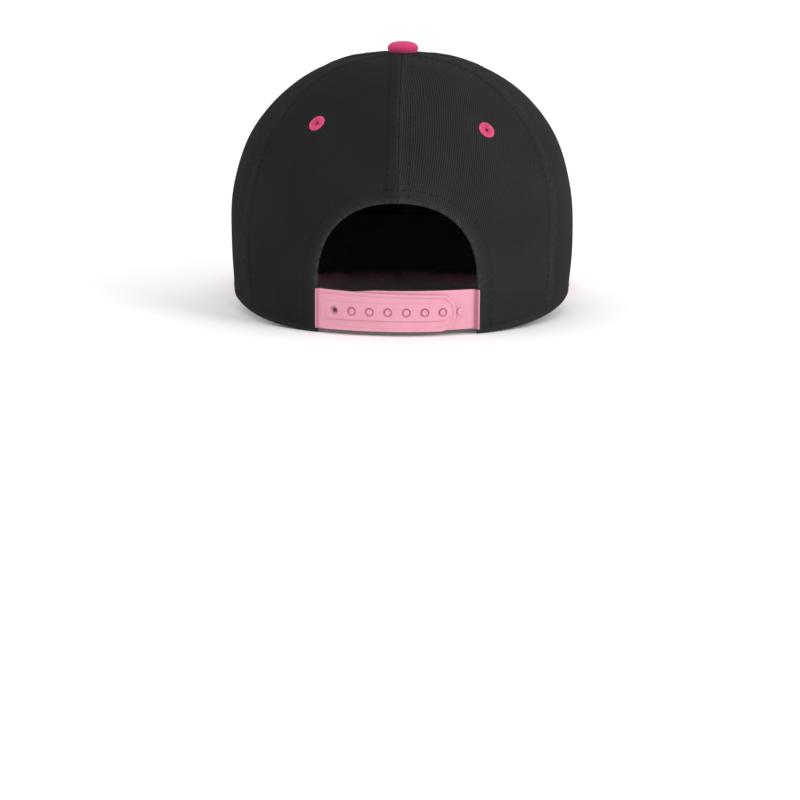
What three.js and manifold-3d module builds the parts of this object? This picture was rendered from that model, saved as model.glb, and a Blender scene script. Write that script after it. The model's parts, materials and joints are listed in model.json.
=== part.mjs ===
// Snapback cap standing by itself on a table: six cloth panels round an open hollow, six
// stitched eyelets, a covered button, a flat brim, a sweatband and a two-piece snap strap.
// Millimetres, +Z up. The brim points to -Y, the snap strap is at +Y and the wearer's left is +X.
// An azimuth is an angle in plan from the back (+Y) towards the wearer's left (+X).

import * as THREE from 'three';
import { mergeVertices } from 'three/addons/utils/BufferGeometryUtils.js';
import Module from 'manifold-3d';

const wasm = await Module();
wasm.setup();

// Crown
const crownHalfWidth = 87;
const crownBackLength = 97;
const crownFrontLength = 103;
const crownHeight = 130;
const wallTopHeight = 42;
const ovalPower = 1.95;
const domePowerBack = 2.22;
const domePowerSide = 2.24;
const domePowerFront = 2.7;
const baseTuck = 0.034;
const sideRimPower = 1.8;
const panelWall = 2;
const seamAzimuthDeg = { back: 60, front: 126 };
const clearance = 0.3;

// Back opening
const archHalfWidth = 39.4;
const archTopHeight = 64.7;
const archSpringHeight = 24;
const archPower = 2.3;

// Brim
const brimLength = 70;
const brimThickness = 3.2;
const brimSlopeDeg = 3.5;
const brimRootAzimuthDeg = 115;
const brimSideSpread = 19;
const brimFrontSpread = 92;
const brimSideReach = 68;
const brimEdgeRound = 0.9;
const brimRootOverhang = 1;

// Sweatband
const bandHeight = 32;
const bandThickness = 1.6;
const bandHem = 1;
const bandFrontEaseDeg = 25;

// Eyelets, one in each panel
const eyeletOuterRadius = 4.4;
const eyeletHoleRadius = 1.1;
const eyeletNeckRadius = 2.6;
const eyeletFlange = 0.9;
const eyeletHeight = 99;
const eyeletSeat = 0.6;
const eyeletAzimuthDeg = { back: 33.5, side: 104, front: 153 };

// Covered button
const buttonRadius = 7.75;
const buttonHeight = 5;
const buttonPostRadius = 1.9;
const buttonWasherRadius = 5;
const buttonWasherThickness = 0.9;

// Snap strap
const strapRowHeight = 12;
const strapBelowRow = 9.6;
const strapAboveRow = 10.2;
const strapTipDrop = 2;
const strapPlate = 1.5;
const strapProud = 0.7;
const strapEndLength = 8;
const strapPitch = 8.87;
const strapHoleCount = 7;
const strapTipReach = 7.1;
const strapBeadWidth = 1.4;
const strapBeadHeight = 0.3;
const strapStationLength = 7;
const ribHalfHeight = 4.2;
const ribHeight = 0.3;
const tabThickness = 1.2;
const tabLength = 18;
const shoulderLength = 1.6;
const shoulderHeight = 0.8;
const lipReach = 0.5;
const holeRadius = 1.15;
const countersinkRadius = 2.2;
const countersinkDepth = 1;
const pegNeckRadius = 0.85;
const pegHeadRadius = 1.4;
const pegHeadHeight = 0.75;

const materials = {
  crown: new THREE.MeshStandardMaterial({ color: 0x2b2b2d, roughness: 0.92, metalness: 0 }),
  accent: new THREE.MeshStandardMaterial({ color: 0xd84474, roughness: 0.8, metalness: 0 }),
  band: new THREE.MeshStandardMaterial({ color: 0x1c1c1e, roughness: 0.95, metalness: 0 }),
  strap: new THREE.MeshStandardMaterial({ color: 0xf0a8bc, roughness: 0.4, metalness: 0 }),
};

// The crown's outer surface

const rad = THREE.MathUtils.degToRad;
const domeRise = crownHeight - wallTopHeight;
const brimTan = Math.tan(rad(brimSlopeDeg));
const brimRootHeight = brimLength * brimTan + brimThickness;
const apexHoleRadius = buttonPostRadius + 1.3 * clearance;

// Angle between 0 at the back and pi at the front, the same on both sides.
function fromBack(azimuth) {
  return Math.abs(Math.atan2(Math.sin(azimuth), Math.cos(azimuth)));
}

// Radius of the widest oval: a superellipse whose back half and front half differ in length.
function ovalRadius(azimuth) {
  const length = Math.cos(azimuth) > 0 ? crownBackLength : crownFrontLength;
  const across = Math.abs(Math.sin(azimuth)) / crownHalfWidth;
  const along = Math.abs(Math.cos(azimuth)) / length;
  return (across ** ovalPower + along ** ovalPower) ** (-1 / ovalPower);
}

// Fullness of the dome's profile: highest in front, where the panels stand tall.
function domePower(azimuth) {
  const c = Math.cos(azimuth);
  const end = c > 0 ? domePowerBack : domePowerFront;
  return THREE.MathUtils.lerp(domePowerSide, end, c * c);
}

// Share of the oval's radius on the near-upright wall: it tucks in towards the rim.
function wallShare(height) {
  return 1 - baseTuck * ((wallTopHeight - height) / wallTopHeight) ** 2;
}

// Azimuth at which the back wall at a height is as far out as the opening's side.
function archSideAzimuth(height) {
  const step = rad(0.02);
  const share = wallShare(height);
  let azimuth = 0;
  while (ovalRadius(azimuth) * share * Math.sin(azimuth) < archHalfWidth) azimuth += step;
  return azimuth;
}

const archFootAzimuth = archSideAzimuth(0);

// Height of the brim's top face at a distance y along the cap.
function brimTopAt(y) {
  return brimRootHeight + brimTan * (y + crownFrontLength);
}

function brimJoinHeight(azimuth) {
  const y = ovalRadius(azimuth) * wallShare(brimRootHeight) * Math.cos(azimuth);
  return brimTopAt(y) + clearance;
}

// Lower edge of the cloth: on the table at the back, raised over the ears, on the brim in front.
function rimHeight(azimuth) {
  const angle = fromBack(azimuth);
  const brimStart = rad(brimRootAzimuthDeg);
  if (angle >= brimStart) return brimJoinHeight(azimuth);
  const share = Math.max(0, (angle - archFootAzimuth) / (brimStart - archFootAzimuth));
  return brimJoinHeight(brimStart) * Math.sin(share * Math.PI / 2) ** sideRimPower;
}

// A level is -1 at the rim, 0 at the widest oval and the dome's angle in radians above it.
function crownPoint(azimuth, level) {
  const radius = ovalRadius(azimuth);
  let height;
  let share;
  if (level < 0) {
    height = wallTopHeight + level * (wallTopHeight - rimHeight(azimuth));
    share = wallShare(height);
  } else {
    const power = 2 / domePower(azimuth);
    height = wallTopHeight + domeRise * Math.sin(level) ** power;
    share = Math.cos(level) ** power;
  }
  const reach = radius * share;
  return new THREE.Vector3(reach * Math.sin(azimuth), reach * Math.cos(azimuth), height);
}

function levelAt(azimuth, height) {
  if (height < wallTopHeight) {
    return (height - wallTopHeight) / (wallTopHeight - rimHeight(azimuth));
  }
  const up = (height - wallTopHeight) / domeRise;
  return Math.asin(up ** (domePower(azimuth) / 2));
}

// Outward unit normal, from small steps along and up the surface.
function crownNormal(azimuth, level) {
  const step = 0.002;
  const along = crownPoint(azimuth + step, level).sub(crownPoint(azimuth - step, level));
  const up = crownPoint(azimuth, level + step).sub(crownPoint(azimuth, level - step));
  return up.cross(along).normalize();
}

// Point at a signed distance outside the crown's outer surface.
function offsetPoint(azimuth, level, distance) {
  return crownPoint(azimuth, level).addScaledVector(crownNormal(azimuth, level), distance);
}

// Azimuth at a signed distance round the line of the strap's holes from the back centre.
function azimuthAtArc(arc) {
  const step = rad(0.1);
  let azimuth = 0;
  let length = 0;
  let last = crownPoint(0, levelAt(0, strapRowHeight));
  while (length < Math.abs(arc)) {
    azimuth += step;
    const next = crownPoint(azimuth, levelAt(azimuth, strapRowHeight));
    length += next.distanceTo(last);
    last = next;
  }
  azimuth -= step * (length - Math.abs(arc)) / (crownHalfWidth * step);
  return Math.sign(arc) * azimuth;
}

function arcAtAzimuth(azimuth) {
  const steps = 200;
  let length = 0;
  let last = crownPoint(0, levelAt(0, strapRowHeight));
  for (let i = 1; i <= steps; i += 1) {
    const at = azimuth * i / steps;
    const next = crownPoint(at, levelAt(at, strapRowHeight));
    length += next.distanceTo(last);
    last = next;
  }
  return length;
}

// Closed solids from two matching grids of points, and their booleans

function sheetSolid(outer, inner) {
  const rows = outer.length;
  const columns = outer[0].length;
  const positions = [...outer, ...inner].flat().flatMap((p) => [p.x, p.y, p.z]);
  const index = [];
  const at = (side, row, column) => side * rows * columns + row * columns + column;
  const quad = (a, b, c, d) => index.push(a, b, c, a, c, d);
  for (let r = 0; r + 1 < rows; r += 1) {
    for (let c = 0; c + 1 < columns; c += 1) {
      quad(at(0, r, c), at(0, r + 1, c), at(0, r + 1, c + 1), at(0, r, c + 1));
      quad(at(1, r, c), at(1, r, c + 1), at(1, r + 1, c + 1), at(1, r + 1, c));
    }
    const last = columns - 1;
    quad(at(0, r, 0), at(1, r, 0), at(1, r + 1, 0), at(0, r + 1, 0));
    quad(at(0, r, last), at(0, r + 1, last), at(1, r + 1, last), at(1, r, last));
  }
  for (let c = 0; c + 1 < columns; c += 1) {
    const last = rows - 1;
    quad(at(0, 0, c), at(0, 0, c + 1), at(1, 0, c + 1), at(1, 0, c));
    quad(at(0, last, c), at(1, last, c), at(1, last, c + 1), at(0, last, c + 1));
  }
  const geometry = new THREE.BufferGeometry();
  geometry.setAttribute('position', new THREE.Float32BufferAttribute(positions, 3));
  geometry.setIndex(index);
  return geometry;
}

function toManifold(geometry) {
  const bare = geometry.clone();
  bare.deleteAttribute('normal');
  bare.deleteAttribute('uv');
  const merged = mergeVertices(bare, 1e-4);
  const mesh = new wasm.Mesh({
    numProp: 3,
    vertProperties: new Float32Array(merged.attributes.position.array),
    triVerts: new Uint32Array(merged.index.array),
  });
  return new wasm.Manifold(mesh);
}

function toGeometry(solid) {
  const mesh = solid.getMesh();
  const geometry = new THREE.BufferGeometry();
  geometry.setAttribute('position', new THREE.Float32BufferAttribute(mesh.vertProperties, 3));
  geometry.setIndex(Array.from(mesh.triVerts));
  geometry.computeVertexNormals();
  return geometry;
}

// A turned piece whose axis stands on the crown at a point, along the surface's normal.
function turnedOnCrown(profile, sides, azimuth, height, offset) {
  const level = levelAt(azimuth, height);
  const geometry = new THREE.LatheGeometry(profile.map(([r, y]) => new THREE.Vector2(r, y)), sides);
  const up = new THREE.Vector3(0, 1, 0);
  const turn = new THREE.Quaternion().setFromUnitVectors(up, crownNormal(azimuth, level));
  geometry.applyQuaternion(turn);
  const place = offsetPoint(azimuth, level, offset);
  return geometry.translate(place.x, place.y, place.z);
}

function cylinderProfile(radius, from, to) {
  return [[0, from], [radius, from], [radius, to], [0, to]];
}

// Crown panels

function panelGrid(startDeg, endDeg, depth) {
  const columns = 9;
  const wallRows = 3;
  const domeRows = 11;
  const rows = [];
  for (let r = 0; r <= wallRows + domeRows; r += 1) {
    const row = [];
    for (let c = 0; c <= columns; c += 1) {
      let azimuth = rad(THREE.MathUtils.lerp(startDeg, endDeg, c / columns));
      const topShare = apexHoleRadius / ovalRadius(azimuth);
      const topLevel = Math.acos(topShare ** (domePower(azimuth) / 2));
      const level = r < wallRows ? r / wallRows - 1 : topLevel * (r - wallRows) / domeRows;
      const reach = Math.hypot(crownPoint(azimuth, level).x, crownPoint(azimuth, level).y);
      const trim = clearance / 2 / reach;
      if (c === 0) azimuth += trim;
      if (c === columns) azimuth -= trim;
      row.push(offsetPoint(azimuth, level, -depth));
    }
    rows.push(row);
  }
  return rows;
}

// Prism of the back opening: upright sides under a rounded superellipse top.
function archPrism(inset) {
  const steps = 22;
  const below = -2 * clearance;
  const half = archHalfWidth - inset;
  const topRise = archTopHeight - archSpringHeight - inset;
  const shape = new THREE.Shape();
  shape.moveTo(-half, below);
  shape.lineTo(half, below);
  for (let i = 0; i <= steps; i += 1) {
    const angle = Math.PI * i / steps;
    const x = Math.sign(Math.cos(angle)) * Math.abs(Math.cos(angle)) ** (2 / archPower);
    const rise = Math.sin(angle) ** (2 / archPower);
    shape.lineTo(half * x, archSpringHeight + topRise * rise);
  }
  const depth = crownBackLength;
  const pastBack = depth / 3;
  const geometry = new THREE.ExtrudeGeometry(shape, { depth, bevelEnabled: false });
  return toManifold(geometry.rotateX(Math.PI / 2).translate(0, crownBackLength + pastBack, 0));
}

function panel(startDeg, endDeg, eyeletAzimuth, isBack) {
  const cloth = sheetSolid(panelGrid(startDeg, endDeg, 0), panelGrid(startDeg, endDeg, panelWall));
  const reach = 3 * panelWall;
  const profile = cylinderProfile(eyeletNeckRadius + clearance, -reach, reach);
  const hole = turnedOnCrown(profile, 12, rad(eyeletAzimuth), eyeletHeight, -panelWall / 2);
  let solid = toManifold(cloth).subtract(toManifold(hole));
  if (isBack) solid = solid.subtract(archPrism(0));
  return toGeometry(solid);
}

// Eyelet: a ring of thread with a face on both sides of the cloth and a neck through its hole.
function eyelet(azimuthDeg) {
  const front = eyeletSeat;
  const back = -panelWall - eyeletSeat;
  const shoulder = eyeletOuterRadius - 0.4 * eyeletFlange;
  const profile = [
    [eyeletHoleRadius, back - 0.5 * eyeletFlange],
    [eyeletNeckRadius, back - eyeletFlange],
    [shoulder, back - 0.8 * eyeletFlange],
    [eyeletOuterRadius, back],
    [eyeletNeckRadius, back],
    [eyeletNeckRadius, front],
    [eyeletOuterRadius, front],
    [shoulder, front + 0.8 * eyeletFlange],
    [eyeletNeckRadius, front + eyeletFlange],
    [eyeletHoleRadius, front + 0.5 * eyeletFlange],
    [eyeletHoleRadius, back - 0.5 * eyeletFlange],
  ];
  return turnedOnCrown(profile, 12, rad(azimuthDeg), eyeletHeight, 0);
}

// Covered button: a low dome, its post through the apex and a washer under the cloth.
function button() {
  const seat = crownHeight + clearance;
  const under = crownHeight - panelWall - clearance;
  const domeSteps = 6;
  const points = [];
  points.push(new THREE.Vector2(0, under - buttonWasherThickness));
  points.push(new THREE.Vector2(buttonWasherRadius, under - buttonWasherThickness));
  points.push(new THREE.Vector2(buttonWasherRadius, under));
  points.push(new THREE.Vector2(buttonPostRadius, under));
  points.push(new THREE.Vector2(buttonPostRadius, seat));
  points.push(new THREE.Vector2(buttonRadius - 0.3 * clearance, seat));
  for (let i = 1; i <= domeSteps; i += 1) {
    const angle = Math.PI / 2 * i / domeSteps;
    const reach = i === domeSteps ? 0 : buttonRadius * Math.cos(angle) ** 0.75;
    points.push(new THREE.Vector2(reach, seat + buttonHeight * Math.sin(angle)));
  }
  return new THREE.LatheGeometry(points, 24).rotateX(Math.PI / 2);
}

// Brim: a flat board whose root follows the front rim and whose outline sweeps to the tip.
function brim() {
  const start = rad(brimRootAzimuthDeg);
  const rootSteps = 24;
  const share = wallShare(brimRootHeight);
  const rootPoint = (azimuth) => {
    const reach = ovalRadius(azimuth) * share - panelWall;
    return new THREE.Vector2(reach * Math.sin(azimuth), reach * Math.cos(azimuth));
  };
  const corner = rootPoint(start).multiplyScalar(1 + (panelWall + brimRootOverhang) / crownHalfWidth);
  const tip = -(crownFrontLength + brimLength);
  const side = corner.x + brimSideSpread;
  const reach = corner.y - brimSideReach;
  const shape = new THREE.Shape();
  shape.moveTo(corner.x, corner.y);
  shape.bezierCurveTo(side, reach, brimFrontSpread, tip, 0, tip);
  shape.bezierCurveTo(-brimFrontSpread, tip, -side, reach, -corner.x, corner.y);
  for (let i = 0; i <= rootSteps; i += 1) {
    const azimuth = THREE.MathUtils.lerp(2 * Math.PI - start, start, i / rootSteps);
    const point = rootPoint(azimuth);
    shape.lineTo(point.x, point.y);
  }
  const geometry = new THREE.ExtrudeGeometry(shape, {
    depth: brimThickness - 2 * brimEdgeRound,
    bevelThickness: brimEdgeRound,
    bevelSize: brimEdgeRound,
    bevelOffset: -brimEdgeRound,
    bevelSegments: 2,
    curveSegments: 20,
  });
  geometry.translate(0, 0, brimRootHeight - brimThickness + brimEdgeRound + brimTan * crownFrontLength);
  const shear = new THREE.Matrix4().set(1, 0, 0, 0, 0, 1, 0, 0, 0, brimTan, 1, 0, 0, 0, 0, 1);
  return toGeometry(toManifold(geometry.applyMatrix4(shear)));
}

// Height of the sweatband's lower edge: over the rim's hem, and low enough in front to hide the
// brim's root.
function bandFoot(azimuth) {
  const front = rad(brimRootAzimuthDeg);
  const share = THREE.MathUtils.smoothstep(fromBack(azimuth), front - rad(bandFrontEaseDeg), front);
  return rimHeight(azimuth) + THREE.MathUtils.lerp(bandHem, -clearance - brimThickness, share);
}

// Sweatband: an upright strip inside the rim, from one strap tab round the front to the other.
function sweatband(tabEndAzimuth) {
  const columns = 48;
  const rows = 3;
  const start = tabEndAzimuth + clearance / crownHalfWidth;
  const grid = (depth) => Array.from({ length: rows + 1 }, (_, r) => (
    Array.from({ length: columns + 1 }, (__, c) => {
      const azimuth = THREE.MathUtils.lerp(start, 2 * Math.PI - start, c / columns);
      const height = bandFoot(azimuth) + bandHeight * r / rows;
      return offsetPoint(azimuth, levelAt(azimuth, height), -depth);
    })
  ));
  const face = panelWall + clearance;
  return toGeometry(toManifold(sheetSolid(grid(face), grid(face + bandThickness))));
}

// Snap strap

const holedFace = strapProud;
const holedBack = holedFace - strapPlate;
const peggedFace = holedBack - clearance;
const peggedBack = peggedFace - strapPlate;
const tabFace = -panelWall - 1.5 * clearance;
const tabBack = tabFace - tabThickness;

// Stations along a strip from its end at from: first round the half ellipse of endLength, if
// there is one, and then evenly. Each has its arc and its edges' heights over the row of holes.
function stripStations({ from, to, below, above, aboveAtFrom = above, endLength = 0 }) {
  const endSteps = endLength > 0 ? 5 : 0;
  const evenSteps = Math.ceil(Math.abs(to - from) / strapStationLength);
  const forwards = Math.sign(to - from);
  const bluntAngle = 0.2;
  const stations = [];
  const addStation = (arc, fullness) => {
    const top = THREE.MathUtils.lerp(aboveAtFrom, above, (arc - from) / (to - from));
    const middle = (top - below) / 2;
    const half = fullness * (top + below) / 2;
    stations.push({ arc, low: middle - half, high: middle + half });
  };
  for (let i = 0; i < endSteps; i += 1) {
    const angle = THREE.MathUtils.lerp(bluntAngle, Math.PI / 2, i / endSteps);
    addStation(from + forwards * endLength * (1 - Math.cos(angle)), Math.sin(angle));
  }
  const start = from + forwards * endLength;
  for (let i = 0; i <= evenSteps; i += 1) {
    addStation(THREE.MathUtils.lerp(start, to, i / evenSteps), 1);
  }
  return to < from ? stations.reverse() : stations;
}

// Curved strip along the strap's line. An arc is positive on the wearer's left.
function strip({ back, face, ...outline }) {
  const rows = 2;
  const stations = stripStations(outline);
  const grid = (depth) => Array.from({ length: rows + 1 }, (_, r) => (
    stations.map(({ arc, low, high }) => {
      const azimuth = azimuthAtArc(arc);
      const height = strapRowHeight + THREE.MathUtils.lerp(low, high, r / rows);
      return offsetPoint(azimuth, levelAt(azimuth, height), depth);
    })
  ));
  return toManifold(sheetSolid(grid(face), grid(back)));
}

function snapArc(index) {
  return strapPitch * (strapHoleCount / 2 - index);
}

function turnedOnStrap(profile, arc) {
  return toManifold(turnedOnCrown(profile, 12, azimuthAtArc(arc), strapRowHeight, 0));
}

// A half's plate gets a thick shoulder in the opening, a tab sewn behind the cloth and a lip
// over the cloth's edge.
function withRoot(plate, side, edgeArc) {
  const from = side * (edgeArc - shoulderLength);
  const edges = { below: strapBelowRow, above: strapAboveRow };
  const shoulderFace = holedFace + shoulderHeight;
  const shoulder = strip({
    from, to: side * (edgeArc + shoulderLength), ...edges, back: tabBack, face: shoulderFace,
  });
  const tab = strip({
    from, to: side * (edgeArc + tabLength), below: strapBelowRow - strapBeadWidth,
    above: strapAboveRow - strapBeadWidth, back: tabBack, face: tabFace,
  });
  const lip = strip({
    from, to: side * (edgeArc + lipReach), ...edges, back: 1.5 * clearance, face: shoulderFace,
  });
  return plate.add(shoulder).intersect(archPrism(clearance)).add(tab).add(lip);
}

function strapHoledHalf(edgeArc) {
  const tip = snapArc(strapHoleCount - 1) - strapTipReach;
  const top = holedFace + strapBeadHeight;
  const past = top + strapPlate;
  const tipAbove = strapAboveRow - strapTipDrop;
  let solid = strip({
    from: tip, to: edgeArc + shoulderLength, below: strapBelowRow, above: strapAboveRow,
    aboveAtFrom: tipAbove, back: holedBack, face: top, endLength: strapEndLength,
  });
  solid = solid.subtract(strip({
    from: tip + strapBeadWidth, to: edgeArc - shoulderLength, below: strapBelowRow - strapBeadWidth,
    above: strapAboveRow - strapBeadWidth, aboveAtFrom: tipAbove - strapBeadWidth,
    back: holedFace, face: past, endLength: strapEndLength - strapBeadWidth,
  }));
  const ribFace = holedFace + ribHeight;
  const ribEnd = snapArc(strapHoleCount - 1) - ribHalfHeight;
  solid = solid.add(strip({
    from: ribEnd, to: snapArc(0) + ribHalfHeight, below: ribHalfHeight, above: ribHalfHeight,
    back: (holedFace + holedBack) / 2, face: ribFace, endLength: ribHalfHeight,
  }));
  solid = withRoot(solid, 1, edgeArc);
  const floor = ribFace - countersinkDepth;
  for (let i = 0; i < strapHoleCount; i += 1) {
    solid = solid.subtract(turnedOnStrap(cylinderProfile(holeRadius, 2 * holedBack, past), snapArc(i)));
    solid = solid.subtract(turnedOnStrap(cylinderProfile(countersinkRadius, floor, past), snapArc(i)));
  }
  return toGeometry(solid);
}

function strapPeggedHalf(edgeArc) {
  let solid = strip({
    from: snapArc(1) + strapTipReach, to: -(edgeArc + shoulderLength), below: strapBelowRow,
    above: strapAboveRow, back: peggedBack, face: peggedFace, endLength: strapEndLength,
  });
  solid = withRoot(solid, -1, edgeArc);
  const headFrom = holedFace + ribHeight - countersinkDepth + clearance;
  const headTo = headFrom + pegHeadHeight;
  const foot = (peggedFace + peggedBack) / 2;
  const profile = [
    [0, foot],
    [pegNeckRadius, foot],
    [pegNeckRadius, headFrom],
    [pegHeadRadius, headFrom],
    [pegHeadRadius, headTo - 0.3 * pegHeadHeight],
    [0.7 * pegHeadRadius, headTo],
    [0, headTo],
  ];
  for (let i = 1; i <= strapHoleCount; i += 1) solid = solid.add(turnedOnStrap(profile, snapArc(i)));
  return toGeometry(solid);
}

// The assembly

const cap = new THREE.Group();

function addPiece(name, geometry, material) {
  const mesh = new THREE.Mesh(geometry, material);
  mesh.name = name;
  cap.add(mesh);
}

const panelPlaces = [
  { place: 'back', start: 0, end: seamAzimuthDeg.back },
  { place: 'side', start: seamAzimuthDeg.back, end: seamAzimuthDeg.front },
  { place: 'front', start: seamAzimuthDeg.front, end: 180 },
];

for (const { place, start, end } of panelPlaces) {
  const at = eyeletAzimuthDeg[place];
  const isBack = place === 'back';
  addPiece(`panel_${place}_left`, panel(start, end, at, isBack), materials.crown);
  addPiece(`panel_${place}_right`, panel(360 - end, 360 - start, 360 - at, isBack), materials.crown);
  addPiece(`eyelet_${place}_left`, eyelet(at), materials.accent);
  addPiece(`eyelet_${place}_right`, eyelet(360 - at), materials.accent);
}

const edgeArc = arcAtAzimuth(archSideAzimuth(strapRowHeight));
addPiece('button', button(), materials.accent);
addPiece('brim', brim(), materials.accent);
addPiece('sweatband', sweatband(azimuthAtArc(edgeArc + tabLength)), materials.band);
addPiece('strap_holed_half', strapHoledHalf(edgeArc), materials.strap);
addPiece('strap_pegged_half', strapPeggedHalf(edgeArc), materials.strap);

// The origin is the middle of the underside of the whole cap's box.
const box = new THREE.Box3().setFromObject(cap);
const middle = box.getCenter(new THREE.Vector3());
cap.position.set(-middle.x, -middle.y, -box.min.z);

export default cap;
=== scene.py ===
"""Snapback cap standing by itself on a pale floor, seen from behind.

The cap is six cloth panels round an open hollow, six embroidered eyelets, a covered button, a
flat stitched brim, a sweatband and a two-piece snap strap. Forms are worked out in millimetres
in the cap's own design frame: +Z up, the brim towards -Y, the strap at +Y, the wearer's left
at +X and z = 0 at the back rim. An azimuth is an angle in plan from the back (+Y) towards the
wearer's left (+X).
"""

import json
import logging
import math
from collections.abc import Callable, Sequence
from dataclasses import dataclass, field
from enum import Enum

import bpy
import numpy as np
from mathutils import Matrix, Vector

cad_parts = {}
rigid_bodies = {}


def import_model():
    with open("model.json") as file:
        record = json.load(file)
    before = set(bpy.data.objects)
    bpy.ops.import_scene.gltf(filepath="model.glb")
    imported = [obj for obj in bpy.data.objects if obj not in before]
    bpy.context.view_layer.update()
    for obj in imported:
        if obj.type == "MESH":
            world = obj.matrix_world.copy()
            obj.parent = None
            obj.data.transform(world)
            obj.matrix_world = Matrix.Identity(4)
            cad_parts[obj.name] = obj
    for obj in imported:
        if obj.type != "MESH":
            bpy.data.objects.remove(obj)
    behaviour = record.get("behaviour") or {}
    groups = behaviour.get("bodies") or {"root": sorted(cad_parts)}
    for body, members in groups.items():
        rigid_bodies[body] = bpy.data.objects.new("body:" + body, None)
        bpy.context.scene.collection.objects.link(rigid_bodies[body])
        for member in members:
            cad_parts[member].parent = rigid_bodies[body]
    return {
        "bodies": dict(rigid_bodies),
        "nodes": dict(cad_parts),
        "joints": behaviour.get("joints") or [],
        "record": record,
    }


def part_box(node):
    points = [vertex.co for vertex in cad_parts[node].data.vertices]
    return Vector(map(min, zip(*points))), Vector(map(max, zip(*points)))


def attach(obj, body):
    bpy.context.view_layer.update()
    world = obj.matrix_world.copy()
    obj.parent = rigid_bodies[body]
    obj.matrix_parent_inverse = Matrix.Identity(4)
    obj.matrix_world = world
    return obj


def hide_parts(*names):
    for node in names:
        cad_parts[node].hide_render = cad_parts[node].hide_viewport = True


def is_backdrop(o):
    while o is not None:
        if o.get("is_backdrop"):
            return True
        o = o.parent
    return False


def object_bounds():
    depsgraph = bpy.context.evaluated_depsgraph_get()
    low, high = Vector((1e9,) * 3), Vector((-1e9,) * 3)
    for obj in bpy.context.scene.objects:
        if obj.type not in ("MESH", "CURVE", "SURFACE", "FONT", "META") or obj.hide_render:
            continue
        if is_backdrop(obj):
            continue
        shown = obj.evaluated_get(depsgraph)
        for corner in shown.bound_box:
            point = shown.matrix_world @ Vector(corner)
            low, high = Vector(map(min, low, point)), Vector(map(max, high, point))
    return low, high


LOG = logging.getLogger("snapback_cap")
MM = 0.001
FAR = 999.0
TAU = 2 * math.pi
HALVINGS = 36
NOISE_SPAN = (0.3, 0.7)

Array = np.ndarray


def smooth_step(low: float, high: float, value: Array) -> Array:
    """Rise from 0 at low to 1 at high along 3t^2 - 2t^3."""
    t = np.clip((value - low) / (high - low), 0.0, 1.0)
    return t * t * (3.0 - 2.0 * t)


def edge_roll(distance: Array, radius: float) -> Array:
    """Depth of a rounded edge: a quarter circle of the radius, deepest at distance 0."""
    t = 1.0 - np.clip(distance / radius, 0.0, 1.0)
    return radius * (1.0 - np.sqrt(np.maximum(0.0, 1.0 - t * t)))


def unit(vectors: Array) -> Array:
    """Vectors divided by their lengths along the last axis."""
    return vectors / np.maximum(np.linalg.norm(vectors, axis=-1, keepdims=True), 1e-12)


def run_along(path: Array) -> Array:
    """Distances along a path of points, from 0 at its start."""
    return np.concatenate([[0.0], np.cumsum(np.linalg.norm(np.diff(path, axis=0), axis=1))])


def spokes(normal: Array, turn: Array) -> Array:
    """Unit vectors square to a normal, each turned round it from the level one."""
    east = unit(np.cross(np.array([0, 0, 1.0]), normal))
    return np.cos(turn)[:, None] * east + np.sin(turn)[:, None] * np.cross(normal, east)


def graded(length: float, start: Sequence[float], end: Sequence[float], pitch: float) -> Array:
    """Fractions from 0 to 1 with chosen distances near both ends and even steps between.

    Args:
        length: Length that the fractions divide, in millimetres.
        start: Distances from the first end that get a line of their own.
        end: Distances from the last end that get a line of their own.
        pitch: Largest step between the two graded stretches.

    Returns:
        Rising fractions of the length.
    """
    low, high = max(start, default=0.0), length - max(end, default=0.0)
    steps = max(2, math.ceil((high - low) / pitch))
    even = np.linspace(low, high, steps + 1)
    lines = np.concatenate([[0.0], start, even, [length - d for d in end], [length]])
    return np.unique(np.round(lines / length, 7))


def linear(red: float, green: float, blue: float) -> tuple[float, float, float, float]:
    """Scene-linear colour of a display colour given from 0 to 1."""
    def channel(value: float) -> float:
        """One channel of the display curve undone."""
        return value / 12.92 if value <= 0.04045 else ((value + 0.055) / 1.055) ** 2.4
    return channel(red), channel(green), channel(blue), 1.0


class Slot(Enum):
    """Finish slots of the part."""

    CROWN = "crown_cloth"
    THREAD = "accent_thread"
    ACCENT = "accent_cloth"
    BAND = "band_cloth"
    STRAP = "strap_plastic"


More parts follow.
